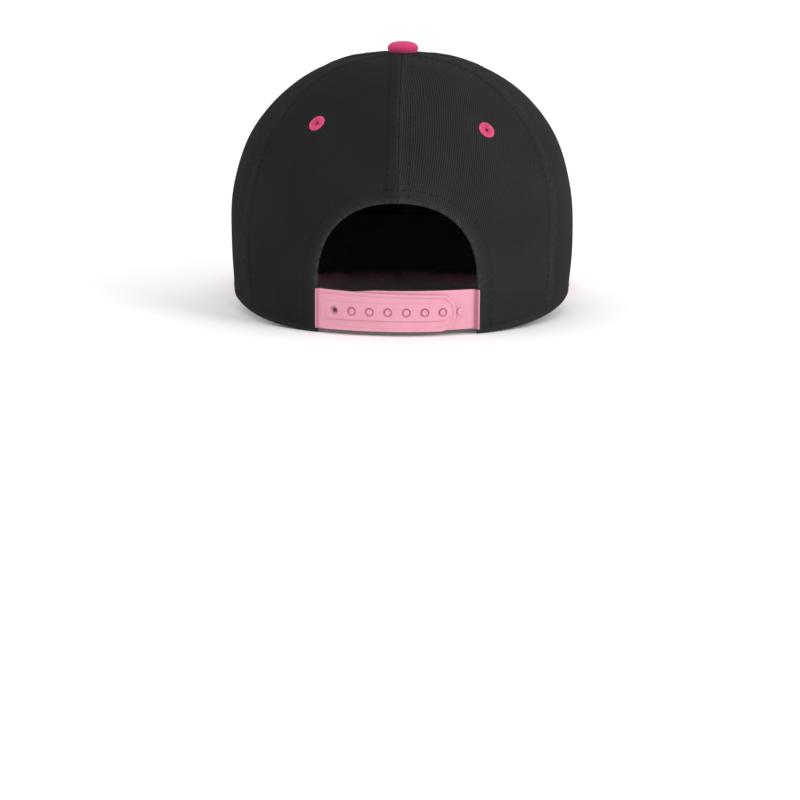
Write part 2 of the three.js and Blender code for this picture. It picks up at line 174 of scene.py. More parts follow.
@dataclass(frozen=True)
class CrownForm:
    """Outer surface of the crown, and its chart.

    The plan is a superellipse whose back and front halves differ in length. Each meridian is a
    near-upright wall that tucks in towards the rim, under a superellipse dome. A climb is a
    distance up a meridian: the height over the wall's top where negative, and the dome's angle
    times chart_radius above it. The chart is a flat map of the crown seen from above: azimuth
    round its middle and, outwards, the climb that is left to the apex.
    """

    half_width: float = 87.0
    back_length: float = 97.0
    front_length: float = 103.0
    height: float = 130.0
    wall_top: float = 42.0
    oval_power: float = 1.95
    dome_power_back: float = 2.22
    dome_power_side: float = 2.24
    dome_power_front: float = 2.7
    base_tuck: float = 0.034
    side_rim_power: float = 1.8
    wall: float = 2.0
    clearance: float = 0.3
    chart_radius: float = 90.0
    arch_half_width: float = 39.4
    arch_top: float = 64.7
    arch_spring: float = 24.0
    arch_power: float = 2.3
    brim_length: float = 70.0
    brim_thickness: float = 3.2
    brim_slope: float = math.radians(3.5)
    brim_root_azimuth: float = math.radians(115.0)

    @property
    def top_climb(self) -> float:
        """Climb of the apex."""
        return self.chart_radius * math.pi / 2

    @property
    def brim_root_height(self) -> float:
        """Height of the brim's top face below the middle of the front rim."""
        return self.brim_length * math.tan(self.brim_slope) + self.brim_thickness

    def oval(self, azimuth: Array) -> Array:
        """Radius of the widest oval: (|sin/width|^p + |cos/length|^p)^(-1/p)."""
        length = np.where(np.cos(azimuth) > 0, self.back_length, self.front_length)
        across = np.abs(np.sin(azimuth)) / self.half_width
        along = np.abs(np.cos(azimuth)) / length
        return (across ** self.oval_power + along ** self.oval_power) ** (-1 / self.oval_power)

    def dome_power(self, azimuth: Array) -> Array:
        """Power of a meridian's superellipse: the side's, turning into the end's by cos^2."""
        c = np.cos(azimuth)
        end = np.where(c > 0, self.dome_power_back, self.dome_power_front)
        return self.dome_power_side + (end - self.dome_power_side) * c * c

    def wall_share(self, height: Array) -> Array:
        """Share of the oval's radius on the wall: 1 less tuck times the squared depth."""
        return 1 - self.base_tuck * ((self.wall_top - height) / self.wall_top) ** 2

    def brim_top(self, y: Array) -> Array:
        """Height of the brim's top face at a distance y along the cap."""
        return self.brim_root_height + math.tan(self.brim_slope) * (y + self.front_length)

    def arch_side_azimuth(self, height: float = 0.0) -> float:
        """Azimuth at which the back wall at a height is as far out as the opening's side."""
        azimuth = np.linspace(0, math.pi / 2, 4000)
        across = self.oval(azimuth) * self.wall_share(height) * np.sin(azimuth)
        return float(np.interp(self.arch_half_width, across, azimuth))

    def rim(self, azimuth: Array) -> Array:
        """Height of the cloth's lower edge: 0 at the back, raised over the ears, on the brim.

        Between the opening and the brim it rises by sin^side_rim_power.

        Args:
            azimuth: Angles in plan, in radians.

        Returns:
            Heights, in millimetres.
        """
        angle = np.abs(np.arctan2(np.sin(azimuth), np.cos(azimuth)))
        share = self.wall_share(self.brim_root_height)
        start = self.brim_root_azimuth
        seat = np.maximum(angle, start)
        on_brim = self.brim_top(self.oval(seat) * share * np.cos(seat)) + self.clearance
        first = self.arch_side_azimuth()
        rise = np.clip((angle - first) / (start - first), 0, 1)
        return on_brim * np.sin(rise * math.pi / 2) ** self.side_rim_power

    def point(self, azimuth: Array, climb: Array) -> Array:
        """Point of the surface.

        On the wall the radius is the oval's times wall_share. On the dome the angle is
        climb / chart_radius and the distance from the wall's top is
        ((cos/oval)^n + (sin/rise)^n)^(-1/n).

        Args:
            azimuth: Angles in plan, in radians.
            climb: Climbs, in millimetres.

        Returns:
            Points with a last axis of x, y and z.
        """
        oval, power = self.oval(azimuth), self.dome_power(azimuth)
        rise = self.height - self.wall_top
        angle = np.clip(climb / self.chart_radius, 0, math.pi / 2)
        across, up = np.cos(angle) / oval, np.sin(angle) / rise
        distance = (across ** power + up ** power) ** (-1 / power)
        height = np.where(climb < 0, self.wall_top + climb, self.wall_top + distance * np.sin(angle))
        low = np.minimum(height, self.wall_top)
        radius = np.where(climb < 0, oval * self.wall_share(low), distance * np.cos(angle))
        return np.stack([radius * np.sin(azimuth), radius * np.cos(azimuth), height], axis=-1)

    def chart(self, azimuth: Array, climb: Array) -> Array:
        """Chart place of a point: the climb left to the apex, turned by the azimuth."""
        left = self.top_climb - climb
        return np.stack([left * np.sin(azimuth), left * np.cos(azimuth)], axis=-1)

    def from_chart(self, place: Array) -> tuple[Array, Array]:
        """Azimuth and climb of chart places."""
        azimuth = np.arctan2(place[..., 0], place[..., 1])
        return azimuth, self.top_climb - np.hypot(place[..., 0], place[..., 1])

    def at(self, place: Array) -> Array:
        """Points of the surface at chart places."""
        return self.point(*self.from_chart(place))

    def normal(self, azimuth: Array, climb: Array) -> Array:
        """Outward unit normals: the cross product of small steps along the chart's two axes."""
        place, step = self.chart(azimuth, climb), 0.2
        east, north = np.array([step, 0.0]), np.array([0.0, step])
        across = self.at(place + east) - self.at(place - east)
        along = self.at(place + north) - self.at(place - north)
        return unit(np.cross(across, along))

    def offset(self, azimuth: Array, climb: Array, distance: Array) -> Array:
        """Points at signed distances outside the surface."""
        normal = self.normal(azimuth, climb)
        return self.point(azimuth, climb) + normal * np.asarray(distance)[..., None]

    def climb_at(self, azimuth: Array, height: Array) -> Array:
        """Climb of a height on a meridian, read from the dome's curve by halving."""
        low, high = np.zeros_like(azimuth * height), np.full_like(azimuth * height, self.top_climb)
        for _ in range(HALVINGS):
            middle = (low + high) / 2
            below = self.point(azimuth, middle)[..., 2] < height
            low, high = np.where(below, middle, low), np.where(below, high, middle)
        return np.where(height < self.wall_top, height - self.wall_top, low)

    def azimuth_at(self, across: Array, height: Array) -> Array:
        """Azimuth at the back where the surface lies a distance across from the middle."""
        low, high = np.zeros_like(across), np.full_like(across, math.pi / 2)
        for _ in range(HALVINGS):
            middle = (low + high) / 2
            x = self.point(middle, self.climb_at(middle, height))[..., 0]
            low, high = np.where(x < across, middle, low), np.where(x < across, high, middle)
        return low

    def arch_curve(self, margin: float, share: Array) -> tuple[Array, Array]:
        """Azimuth and climb along the opening's edge on the wearer's left, from foot to top.

        Upright to the spring height, then |x/w|^p + |z/h|^p = 1 over it.

        Args:
            margin: Distance outside the edge itself.
            share: Fractions of the way from the foot to the top.

        Returns:
            Azimuths and climbs.
        """
        half, rise = self.arch_half_width + margin, self.arch_top - self.arch_spring + margin
        turn = np.linspace(0, math.pi / 2, 400)
        bend = 2 / self.arch_power
        x = np.concatenate([[half], half * np.cos(turn) ** bend])
        z = np.concatenate([[0.0], self.arch_spring + rise * np.sin(turn) ** bend])
        run = run_along(np.stack([x, z], axis=-1))
        x, z = np.interp(share * run[-1], run, x), np.interp(share * run[-1], run, z)
        azimuth = self.azimuth_at(x, z)
        return azimuth, self.climb_at(azimuth, z)

    def arch_distance(self, points: Array) -> Array:
        """Distance outside the opening's edge, along the ray from the arch's middle."""
        x, up = np.abs(points[..., 0]), np.maximum(points[..., 2] - self.arch_spring, 0)
        rise = self.arch_top - self.arch_spring
        norm = ((x / self.arch_half_width) ** self.arch_power
                + (up / rise) ** self.arch_power) ** (1 / self.arch_power)
        outside = np.hypot(x, up) * (1 - 1 / np.maximum(norm, 1e-6))
        return np.where(points[..., 1] > 0, outside, FAR)


@dataclass(frozen=True)
class Placement:
    """Shift from the design frame, in millimetres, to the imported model, in metres."""

    shift: tuple[float, float, float]

    @classmethod
    def read(cls, form: CrownForm) -> "Placement":
        """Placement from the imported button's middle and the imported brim's lowest corner."""
        low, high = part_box("button")
        tip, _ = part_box("brim")
        across = (low.x + high.x) / 2 / MM
        along = tip.y / MM + form.front_length + form.brim_length
        return cls((across, along, 0.0))

    def metres(self, points: Array) -> Array:
        """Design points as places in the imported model."""
        return (points + np.array(self.shift)) * MM


@dataclass
class MeshParts:
    """Vertex blocks and their faces, gathered for one mesh.

    Attributes:
        points: Blocks of points in millimetres.
        faces: Blocks of faces, four or three corners wide.
        uv: Blocks of cloth coordinates in metres.
        wear: Blocks of values per point: on cloth 0 where it is fresh and 1 where it is rubbed, on the
            strap the share of painted shade.
        count: Points so far.
    """

    points: list[Array] = field(default_factory=list)
    faces: list[Array] = field(default_factory=list)
    uv: list[Array] = field(default_factory=list)
    wear: list[Array] = field(default_factory=list)
    count: int = 0

    def add(self, points: Array, faces: Sequence[Array], uv: Array | None = None,
            wear: Array | None = None) -> None:
        """Add a block.

        Args:
            points: Points with a last axis of 3.
            faces: Arrays of faces that count from 0 within the block.
            uv: Cloth coordinates, or None for the points' x and z.
            wear: Rubbing values on cloth and painted shade shares on the strap; None gives 0.
        """
        flat = points.reshape(-1, 3)
        size = len(flat)
        self.points.append(flat)
        self.uv.append(flat[:, [0, 2]] * MM if uv is None else uv.reshape(-1, 2))
        self.wear.append(np.zeros(size) if wear is None else wear.reshape(-1))
        self.faces.extend(block + self.count for block in faces)
        self.count += size

    def add_shell(self, outer: Array, inner: Array, keep: Array | None = None,
                  uv: Array | None = None, wear: Array | None = None, flip: bool = False) -> None:
        """Add a closed sheet between two matching grids, walled along each open edge.

        Args:
            outer: Grid of outer points, rows by columns by 3.
            inner: Grid of inner points of the same shape.
            keep: Cells that are cloth, or None for all of them.
            uv: Cloth coordinates of both grids.
            wear: Rubbing values on cloth and painted shade shares on the strap, for both grids.
            flip: Turn every face round, for a grid whose columns run the other way.
        """
        rows, columns = outer.shape[:2]
        index = np.arange(rows * columns).reshape(rows, columns)
        kept = np.ones((rows - 1, columns - 1), bool) if keep is None else keep
        a, b, c, d = index[:-1, :-1], index[:-1, 1:], index[1:, 1:], index[1:, :-1]
        front = np.stack([a, b, c, d], axis=-1)[kept]
        depth = rows * columns
        faces = [front, front[:, ::-1] + depth]
        padded = np.pad(kept, 1).astype(int)
        upright = padded[1:-1, 1:] - padded[1:-1, :-1]
        level = padded[1:, 1:-1] - padded[:-1, 1:-1]
        for sign in (1, -1):
            row, column = np.nonzero(upright == sign)
            first, last = (index[row, column], index[row + 1, column])[::sign]
            faces.append(np.stack([first, last, last + depth, first + depth], axis=-1))
            row, column = np.nonzero(level == sign)
            first, last = (index[row, column + 1], index[row, column])[::sign]
            faces.append(np.stack([first, last, last + depth, first + depth], axis=-1))
        if flip:
            faces = [block[:, ::-1] for block in faces]
        both = np.stack([outer.reshape(-1, 3), inner.reshape(-1, 3)])
        uv_both = None if uv is None else np.stack([uv, uv])
        wear_and_shade_both = None if wear is None else np.stack([wear, wear])
        self.add(both, faces, uv_both, wear_and_shade_both)

    def add_tube(self, rings: Array, uv: Array | None = None, closed: bool = False,
                 wear: Array | None = None) -> None:
        """Add a tube through rings of points.

        Args:
            rings: Points, ring by ring, each ring going round once.
            uv: Cloth coordinates of the points.
            closed: Join the last ring to the first, otherwise both ends get a cap.
            wear: Rubbing values on cloth and painted shade shares on the strap, for the points.
        """
        count, around = rings.shape[:2]
        index = np.arange(count * around).reshape(count, around)
        turned = np.roll(index, -1, axis=1)
        ahead, ahead_turned = np.roll(index, -1, axis=0), np.roll(turned, -1, axis=0)
        quads = np.stack([index, turned, ahead_turned, ahead], axis=-1)
        quads = quads if closed else quads[:-1]
        faces = [quads.reshape(-1, 4)]
        if not closed:
            faces += [index[0][None, ::-1], index[-1][None, :]]
        self.add(rings, faces, uv, wear)

    def build(self, name: str, placement: Placement, material: bpy.types.Material,
              slot: Slot, *nodes: str) -> bpy.types.Object:
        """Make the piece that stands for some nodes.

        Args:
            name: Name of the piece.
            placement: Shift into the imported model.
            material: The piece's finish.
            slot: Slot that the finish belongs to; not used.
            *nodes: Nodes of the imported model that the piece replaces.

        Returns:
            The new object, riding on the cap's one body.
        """
        mesh = bpy.data.meshes.new(name)
        used = np.unique(np.concatenate([block.ravel() for block in self.faces]))
        renumber = np.zeros(self.count, int)
        renumber[used] = np.arange(len(used))
        points, uv, wear = (np.concatenate(v)[used] for v in (self.points, self.uv, self.wear))
        faces = [face for block in self.faces for face in renumber[block].tolist()]
        mesh.from_pydata(placement.metres(points).tolist(), [], faces)
        corners = np.empty(len(mesh.loops), np.int32)
        mesh.loops.foreach_get("vertex_index", corners)
        layer = mesh.uv_layers.new(name="cloth")
        layer.data.foreach_set("uv", uv[corners].astype(np.float32).ravel())
        # This layer holds how worn the cloth is and, on the strap, how much painted shade it gets.
        rubbed = mesh.attributes.new("wear", "FLOAT", "POINT")
        rubbed.data.foreach_set("value", wear.astype(np.float32))
        mesh.polygons.foreach_set("use_smooth", np.ones(len(mesh.polygons), bool))
        mesh.materials.append(material)
        mesh.update()
        piece = bpy.data.objects.new(name, mesh)
        bpy.context.scene.collection.objects.link(piece)
        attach(piece, "root")
        if nodes:
            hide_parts(*nodes)
        triangles = sum(len(block) * (block.shape[1] - 2) for block in self.faces)
        LOG.info("%s: %d triangles for %s", name, triangles, ", ".join(nodes))
        return piece


@dataclass(frozen=True)
class Stitching:
    """Row of sewn thread: each stitch is a short capsule whose two ends dive into the cloth."""

    length: float = 2.7
    gap: float = 0.6
    width: float = 0.42
    dive: float = 0.2
    rings: int = 5
    sides: int = 6

    def lay(self, parts: MeshParts, path: Array, normals: Array) -> None:
        """Lay stitches along a path.

        A stitch's ring at t from -1 to 1 has the radius width/2 * (1 - t^4)^(1/2) and sinks by
        dive * t^2.

        Args:
            parts: Mesh that takes the stitches.
            path: Points along the row.
            normals: The cloth's outward directions at those points.
        """
        run = run_along(path)
        count = int(run[-1] // (self.length + self.gap))
        if count < 1:
            return
        middle = (np.arange(count) + 0.5) * run[-1] / count

        def along(values: Array, where: Array) -> Array:
            """Values of the path at distances along it."""
            return np.stack([np.interp(where, run, values[:, axis]) for axis in range(3)], axis=-1)

        up = unit(along(normals, middle))
        forward = unit(along(path, middle + self.length / 2) - along(path, middle - self.length / 2))
        across = unit(np.cross(up, forward))
        t = np.linspace(-0.97, 0.97, self.rings)
        turn = np.arange(self.sides) * TAU / self.sides
        radius = self.width / 2 * np.sqrt(1 - t ** 4)
        sink = -self.dive * t ** 2
        frame = np.stack([forward, across, up], axis=1)
        local = np.stack([
            np.broadcast_to((t * self.length / 2)[:, None], (self.rings, self.sides)),
            radius[:, None] * np.cos(turn),
            radius[:, None] * np.sin(turn) + sink[:, None],
        ], axis=-1)
        points = along(path, middle)[:, None, None] + np.einsum("rsk,nkx->nrsx", local, frame)
        index = np.arange(self.rings * self.sides).reshape(self.rings, self.sides)
        turned = np.roll(index, -1, axis=1)
        sides = np.stack([index[:-1], turned[:-1], turned[1:], index[1:]], axis=-1).reshape(-1, 4)
        ends = np.stack([index[0, ::-1], index[-1]])
        starts = (np.arange(count) * self.rings * self.sides)[:, None, None]
        parts.add(points, [(block + starts).reshape(-1, block.shape[1]) for block in (sides, ends)])


class PanelPlace(Enum):
    """Panels of one side of the crown.

    Each value holds the first and last seam's azimuth in degrees, and the azimuth and height of
    the eyelet on the wearer's left and then on the right.
    """

    BACK = (0.0, 60.0, (33.3, 100.1), (33.7, 97.4))
    SIDE = (60.0, 126.0, (104.0, 99.0), (104.0, 99.0))
    FRONT = (126.0, 180.0, (153.0, 99.0), (153.0, 99.0))

    @property
    def seams(self) -> tuple[float, float]:
        """First and last seam in radians."""
        return math.radians(self.value[0]), math.radians(self.value[1])

    def eyelet(self, side: int) -> tuple[float, float]:
        """Azimuth in radians and height in millimetres of the eyelet on one side."""
        azimuth, height = self.value[2 if side > 0 else 3]
        return side * math.radians(azimuth), height

    def node(self, kind: str, side: int) -> str:
        """Name of the node of a kind, panel or eyelet, on one side."""
        return f"{kind}_{self.name.lower()}_{'left' if side > 0 else 'right'}"


@dataclass(frozen=True)
class Wave:
    """Sine wave of the cloth: height, whole waves round the crown, rate up it and phase."""

    height: float
    turns: int
    rate: float
    phase: float

    def at(self, azimuth: Array, up: Array) -> Array:
        """Height of the wave at azimuths and distances up."""
        return self.height * np.sin(self.turns * azimuth + self.rate * up + self.phase)


@dataclass(frozen=True)
class Swell:
    """Gaussian swell of the cloth: its height, then its middle and width up and round the crown."""

    height: float
    climb: float
    climb_width: float
    azimuth: float = 0.0
    azimuth_width: float = math.inf


@dataclass(frozen=True)
class Pucker:
    """Dimples beside a seam: height, spacing up it, waves round the crown, distance and width."""

    height: float
    spacing: float
    turns: int
    distance: float
    width: float


@dataclass(frozen=True)
class Crown:
    """Six cloth panels, their seams, hems and top stitching."""

    form: CrownForm
    placement: Placement
    seam_roll: float = 0.8
    seam_fold_width: float = 5.3
    seam_fold_height: float = 0.28
    fold_step: tuple[float, float] = (-0.5, 0.4)
    allowance_width: float = 7.0
    allowance_height: float = 0.5
    allowance_step: tuple[float, float] = (-0.6, 0.5)
    allowance_fade: tuple[float, float] = (34.0, 38.0)
    hem_roll: float = 0.9
    arch_hem_width: float = 6.2
    rim_hem_width: float = 4.0
    hem_height: float = 0.22
    hem_wear: float = 1.6
    seam_wear: float = 1.2
    seam_wear_share: float = 0.6
    button_rise: float = 1.1
    button_swell: float = 9.0
    apex_fade: float = 30.0
    waves: tuple[Wave, ...] = (Wave(0.20, 3, 0.045, 0.6), Wave(0.16, 5, -0.062, 2.1),
                               Wave(0.10, 10, 0.118, 4.4), Wave(0.06, 2, 0.21, 1.2))
    swells: tuple[Swell, ...] = (Swell(0.8, 98.0, 20.0),
                                 Swell(1.4, 52.0, 34.0, math.radians(-80.0), 0.8))
    puckers: tuple[Pucker, ...] = (Pucker(0.07, 9.5, 3, 5.0, 3.2), Pucker(0.05, 3.3, 0, 5.3, 0.9))
    eyelet_cut: float = 2.2
    eyelet_dip: float = 0.3
    eyelet_dip_width: float = 5.5
    back_panel_height: float = 125.0
    back_panel_width: float = 85.0
    stitch_foot: float = 1.5
    stitch_top: float = 10.5
    rim_stitch_start: float = math.radians(1.2)
    pitch: float = 1.7
    seam_lines: tuple[float, ...] = (0.12, 0.3, 0.55, 0.9, 1.4, 2.1, 3.0, 4.0, 4.7, 5.3, 5.9, 6.8)
    hem_lines: tuple[float, ...] = (0.1, 0.28, 0.55, 0.95, 1.5, 2.3, 3.2, 3.9, 4.6, 5.4, 6.1, 6.8)
    stitching: Stitching = Stitching()

    def plain_chart(self, place: PanelPlace) -> Array:
        """Chart grid of a panel bounded by two meridians: even in azimuth, even up each one.

        Args:
            place: Which panel.

        Returns:
            Chart places, rows upwards by columns round the crown.
        """
        start, end = place.seams
        form = self.form
        middle = form.point(np.array([start, end]), np.zeros(2))
        width = float(np.linalg.norm(middle[1] - middle[0]))
        across = graded(width, self.seam_lines, self.seam_lines, self.pitch)
        foot = form.rim(np.array([(start + end) / 2]))[0] - form.wall_top
        top = form.top_climb - self.seam_roll
        up = graded(top - foot, self.hem_lines, (), self.pitch)
        azimuth = (start + (end - start) * across)[None, :]
        low = form.rim(azimuth) - form.wall_top
        climb = low + (top - low) * up[:, None]
        return form.chart(azimuth + 0 * climb, climb)

    def back_chart(self) -> Array:
        """Chart grid of the wearer's left back panel.

        A Coons patch between the opening's edge and the side seam, with the rim at its foot and
        the centre back seam at its top: the two blends of facing sides, less the blend of the
        four corners.
        """
        form = self.form
        _, end = PanelPlace.BACK.seams
        first = form.arch_side_azimuth()
        rows = graded(self.back_panel_height, self.hem_lines, self.seam_lines, self.pitch)
        columns = graded(self.back_panel_width, self.hem_lines, self.seam_lines, self.pitch)
        opening = form.chart(*form.arch_curve(0.0, rows))
        foot = form.rim(np.array([end]))[0] - form.wall_top
        seam_climb = foot + (form.top_climb - foot) * rows
        seam = form.chart(np.full_like(rows, end), seam_climb)
        rim_azimuth = first + (end - first) * columns
        rim = form.chart(rim_azimuth, form.rim(rim_azimuth) - form.wall_top)
        arch_climb = form.climb_at(np.zeros(1), np.full(1, form.arch_top))[0]
        centre_climb = arch_climb + (form.top_climb - arch_climb) * columns
        centre = form.chart(np.zeros_like(columns), centre_climb)
        p, q = rows[:, None, None], columns[None, :, None]
        sides = (1 - q) * opening[:, None] + q * seam[:, None]
        ends = (1 - p) * rim[None, :] + p * centre[None, :]
        corners = ((1 - q) * ((1 - p) * opening[0] + p * opening[-1])
                   + q * ((1 - p) * seam[0] + p * seam[-1]))
        return sides + ends - corners

    def distances(self, azimuth: Array, climb: Array) -> tuple[Array, Array, Array]:
        """Distances along the cloth to the nearest seam, the rim and the opening's edge.

        Args:
            azimuth: Angles in plan, in radians.
            climb: Climbs, in millimetres.

        Returns:
            The three distances, FAR where there is no such edge near.
        """
        points = self.form.point(azimuth, climb)
        reach = np.hypot(points[..., 0], points[..., 1])
        angle = np.abs(np.arctan2(np.sin(azimuth), np.cos(azimuth)))
        in_opening = points[..., 2] < self.form.arch_top
        seam = np.where(in_opening | (angle > math.pi / 2), FAR, reach * np.sin(angle))
        for place in PanelPlace:
            aside = np.abs(angle - place.seams[1])
            near = np.where(aside < math.pi / 2, reach * np.sin(aside), FAR)
            seam = np.minimum(seam, near)
        rim = climb + self.form.wall_top - self.form.rim(azimuth)
        return seam, rim, self.form.arch_distance(points)

    def unevenness(self, azimuth: Array, climb: Array) -> Array:
        """Slow waves of soft cloth, a sum of sines that fades towards the apex, and the swells."""
        top = self.form.top_climb
        wave = sum(each.at(azimuth, climb) for each in self.waves)
        return wave * smooth_step(top, top - self.apex_fade, climb) + self.fullness(azimuth, climb)

    def fullness(self, azimuth: Array, climb: Array) -> Array:
        """Broad swells of the cloth: Gaussians at the button, round the top and on the right."""
        left = self.form.top_climb - climb
        swell = self.button_rise * np.exp(-(left / self.button_swell) ** 2)
        for each in self.swells:
            up = (climb - each.climb) / each.climb_width
            aside = np.angle(np.exp(1j * (azimuth - each.azimuth))) / each.azimuth_width
            swell = swell + each.height * np.exp(-up ** 2 - aside ** 2)
        return swell

    def folded(self, distance: Array, width: float) -> Array:
        """Share of a fold's height: 1 up to its width and 0 past the stitching there."""
        return 1 - smooth_step(*self.fold_step, distance - width)

    def outer_relief(self, azimuth: Array, climb: Array) -> Array:
        """Height of the cloth's outer face over the plain form.

        Folded cloth beside seams and hems stands proud up to its stitching, every edge rolls
        in, stitches pull slight puckers, and the cloth dips round each eyelet.

        Args:
            azimuth: Angles in plan, in radians.
            climb: Climbs, in millimetres.

        Returns:
            Heights over the plain form.
        """
        seam, rim, opening = self.distances(azimuth, climb)
        fold = self.seam_fold_height * self.folded(seam, self.seam_fold_width)
        hem = self.hem_height * np.maximum(self.folded(rim, self.rim_hem_width),
                                           self.folded(opening, self.arch_hem_width))
        roll = np.maximum(edge_roll(seam, self.seam_roll), edge_roll(rim, self.hem_roll))
        roll = np.maximum(roll, edge_roll(opening, self.hem_roll))
        pucker = sum(p.height * np.sin(TAU * climb / p.spacing + p.turns * azimuth)
                     * np.exp(-((seam - p.distance) / p.width) ** 2) for p in self.puckers)
        return (np.maximum(fold, hem) + self.unevenness(azimuth, climb) + pucker
                - roll - self.eyelet_pull(azimuth, climb))

    def eyelet_pull(self, azimuth: Array, climb: Array) -> Array:
        """Dip of the cloth round each eyelet: a Gaussian of the distance to it."""
        points = self.form.point(azimuth, climb)
        depth = np.zeros_like(climb * azimuth)
        for place in PanelPlace:
            for side in (1, -1):
                centre, _ = self.eyelet_seat(place, side)
                away = np.linalg.norm(points - centre, axis=-1)
                depth = depth + self.eyelet_dip * np.exp(-(away / self.eyelet_dip_width) ** 2)
        return depth

    def inner_relief(self, azimuth: Array, climb: Array) -> Array:
        """Offset of the cloth's inner face: the wall, and the seam allowance over the band."""
        seam, rim, opening = self.distances(azimuth, climb)
        allowance = 1 - smooth_step(*self.allowance_step, seam - self.allowance_width)
        allowance = self.allowance_height * allowance * smooth_step(*self.allowance_fade, rim)
        roll = np.maximum(edge_roll(rim, self.hem_roll), edge_roll(opening, self.hem_roll))
        return self.unevenness(azimuth, climb) - self.form.wall - allowance + roll

    def eyelet_seat(self, place: PanelPlace, side: int) -> tuple[Array, Array]:
        """Point and normal of the plain form at an eyelet."""
        azimuth, height = (np.array([value]) for value in place.eyelet(side))
        climb = self.form.climb_at(azimuth, height)
        return self.form.point(azimuth, climb)[0], self.form.normal(azimuth, climb)[0]

    def panel(self, place: PanelPlace, side: int, material: bpy.types.Material) -> bpy.types.Object:
        """Build one panel.

        Args:
            place: Which panel of its side.
            side: 1 on the wearer's left and -1 on the right.
            material: Finish of the cloth.

        Returns:
            The panel's object.
        """
        form = self.form
        chart = self.back_chart() if place is PanelPlace.BACK else self.plain_chart(place)
        azimuth, climb = form.from_chart(chart)
        start, end = place.seams
        climb = np.minimum(climb, form.top_climb - self.seam_roll)
        base = form.point(azimuth, climb)
        azimuth = side * np.clip(azimuth, start, end)
        outer = form.offset(azimuth, climb, self.outer_relief(azimuth, climb))
        inner = form.offset(azimuth, climb, self.inner_relief(azimuth, climb))
        seat, _ = self.eyelet_seat(place, side)
        middle = (base[:-1, :-1] + base[1:, 1:]) / 2 * np.array([side, 1, 1])
        keep = np.linalg.norm(middle - seat, axis=-1) > self.eyelet_cut
        grain = side * (start + end) / 2
        across = np.hypot(base[..., 0], base[..., 1]) * (grain - azimuth)
        uv = np.stack([across, climb], axis=-1) * MM
        seam, rim, opening = self.distances(azimuth, climb)
        wear = np.maximum(np.exp(-np.minimum(rim, opening) / self.hem_wear),
                          self.seam_wear_share * np.exp(-seam / self.seam_wear))
        parts = MeshParts()
        parts.add_shell(outer, inner, keep, uv, wear, flip=side > 0)
        name = place.node("panel", side)
        return parts.build(f"{name}_cloth", self.placement, material, Slot.CROWN, name)

    def row(self, parts: MeshParts, azimuth: Array, climb: Array) -> None:
        """Sew one row of stitches on the outer face along azimuths and climbs."""
        path = self.form.offset(azimuth, climb, self.outer_relief(azimuth, climb))
        self.stitching.lay(parts, path, self.form.normal(azimuth, climb))

    def topstitches(self, material: bpy.types.Material) -> bpy.types.Object:
        """Sew a row on both sides of every seam, one along the rim and one round the opening.

        Args:
            material: Finish of the thread.

        Returns:
            The stitches' object.
        """
        form, parts = self.form, MeshParts()
        steps = 400
        arch_climb = form.climb_at(np.zeros(1), np.full(1, form.arch_top))[0]
        ends = [place.seams[1] for place in PanelPlace]
        for seam in (0.0, *ends, *(-end for end in ends[:-1])):
            foot = arch_climb if seam == 0 else form.rim(np.array([seam]))[0] - form.wall_top
            climb = np.linspace(foot + self.stitch_foot, form.top_climb - self.stitch_top, steps)
            base = form.point(np.full(steps, seam), climb)
            aside = np.arcsin(self.seam_fold_width / np.hypot(base[:, 0], base[:, 1]))
            for hand in (1, -1):
                self.row(parts, seam + hand * aside, climb)
        first = form.arch_side_azimuth() + self.rim_stitch_start
        azimuth = np.linspace(first, TAU - first, 4 * steps)
        self.row(parts, azimuth, form.rim(azimuth) - form.wall_top + self.rim_hem_width)
        share = np.linspace(0.02, 1.0, steps)
        azimuth, climb = form.arch_curve(self.arch_hem_width, share)
        both = np.concatenate([azimuth, -azimuth[::-1]]), np.concatenate([climb, climb[::-1]])
        self.row(parts, *both)
        return parts.build("crown_topstitches", self.placement, material, Slot.CROWN)


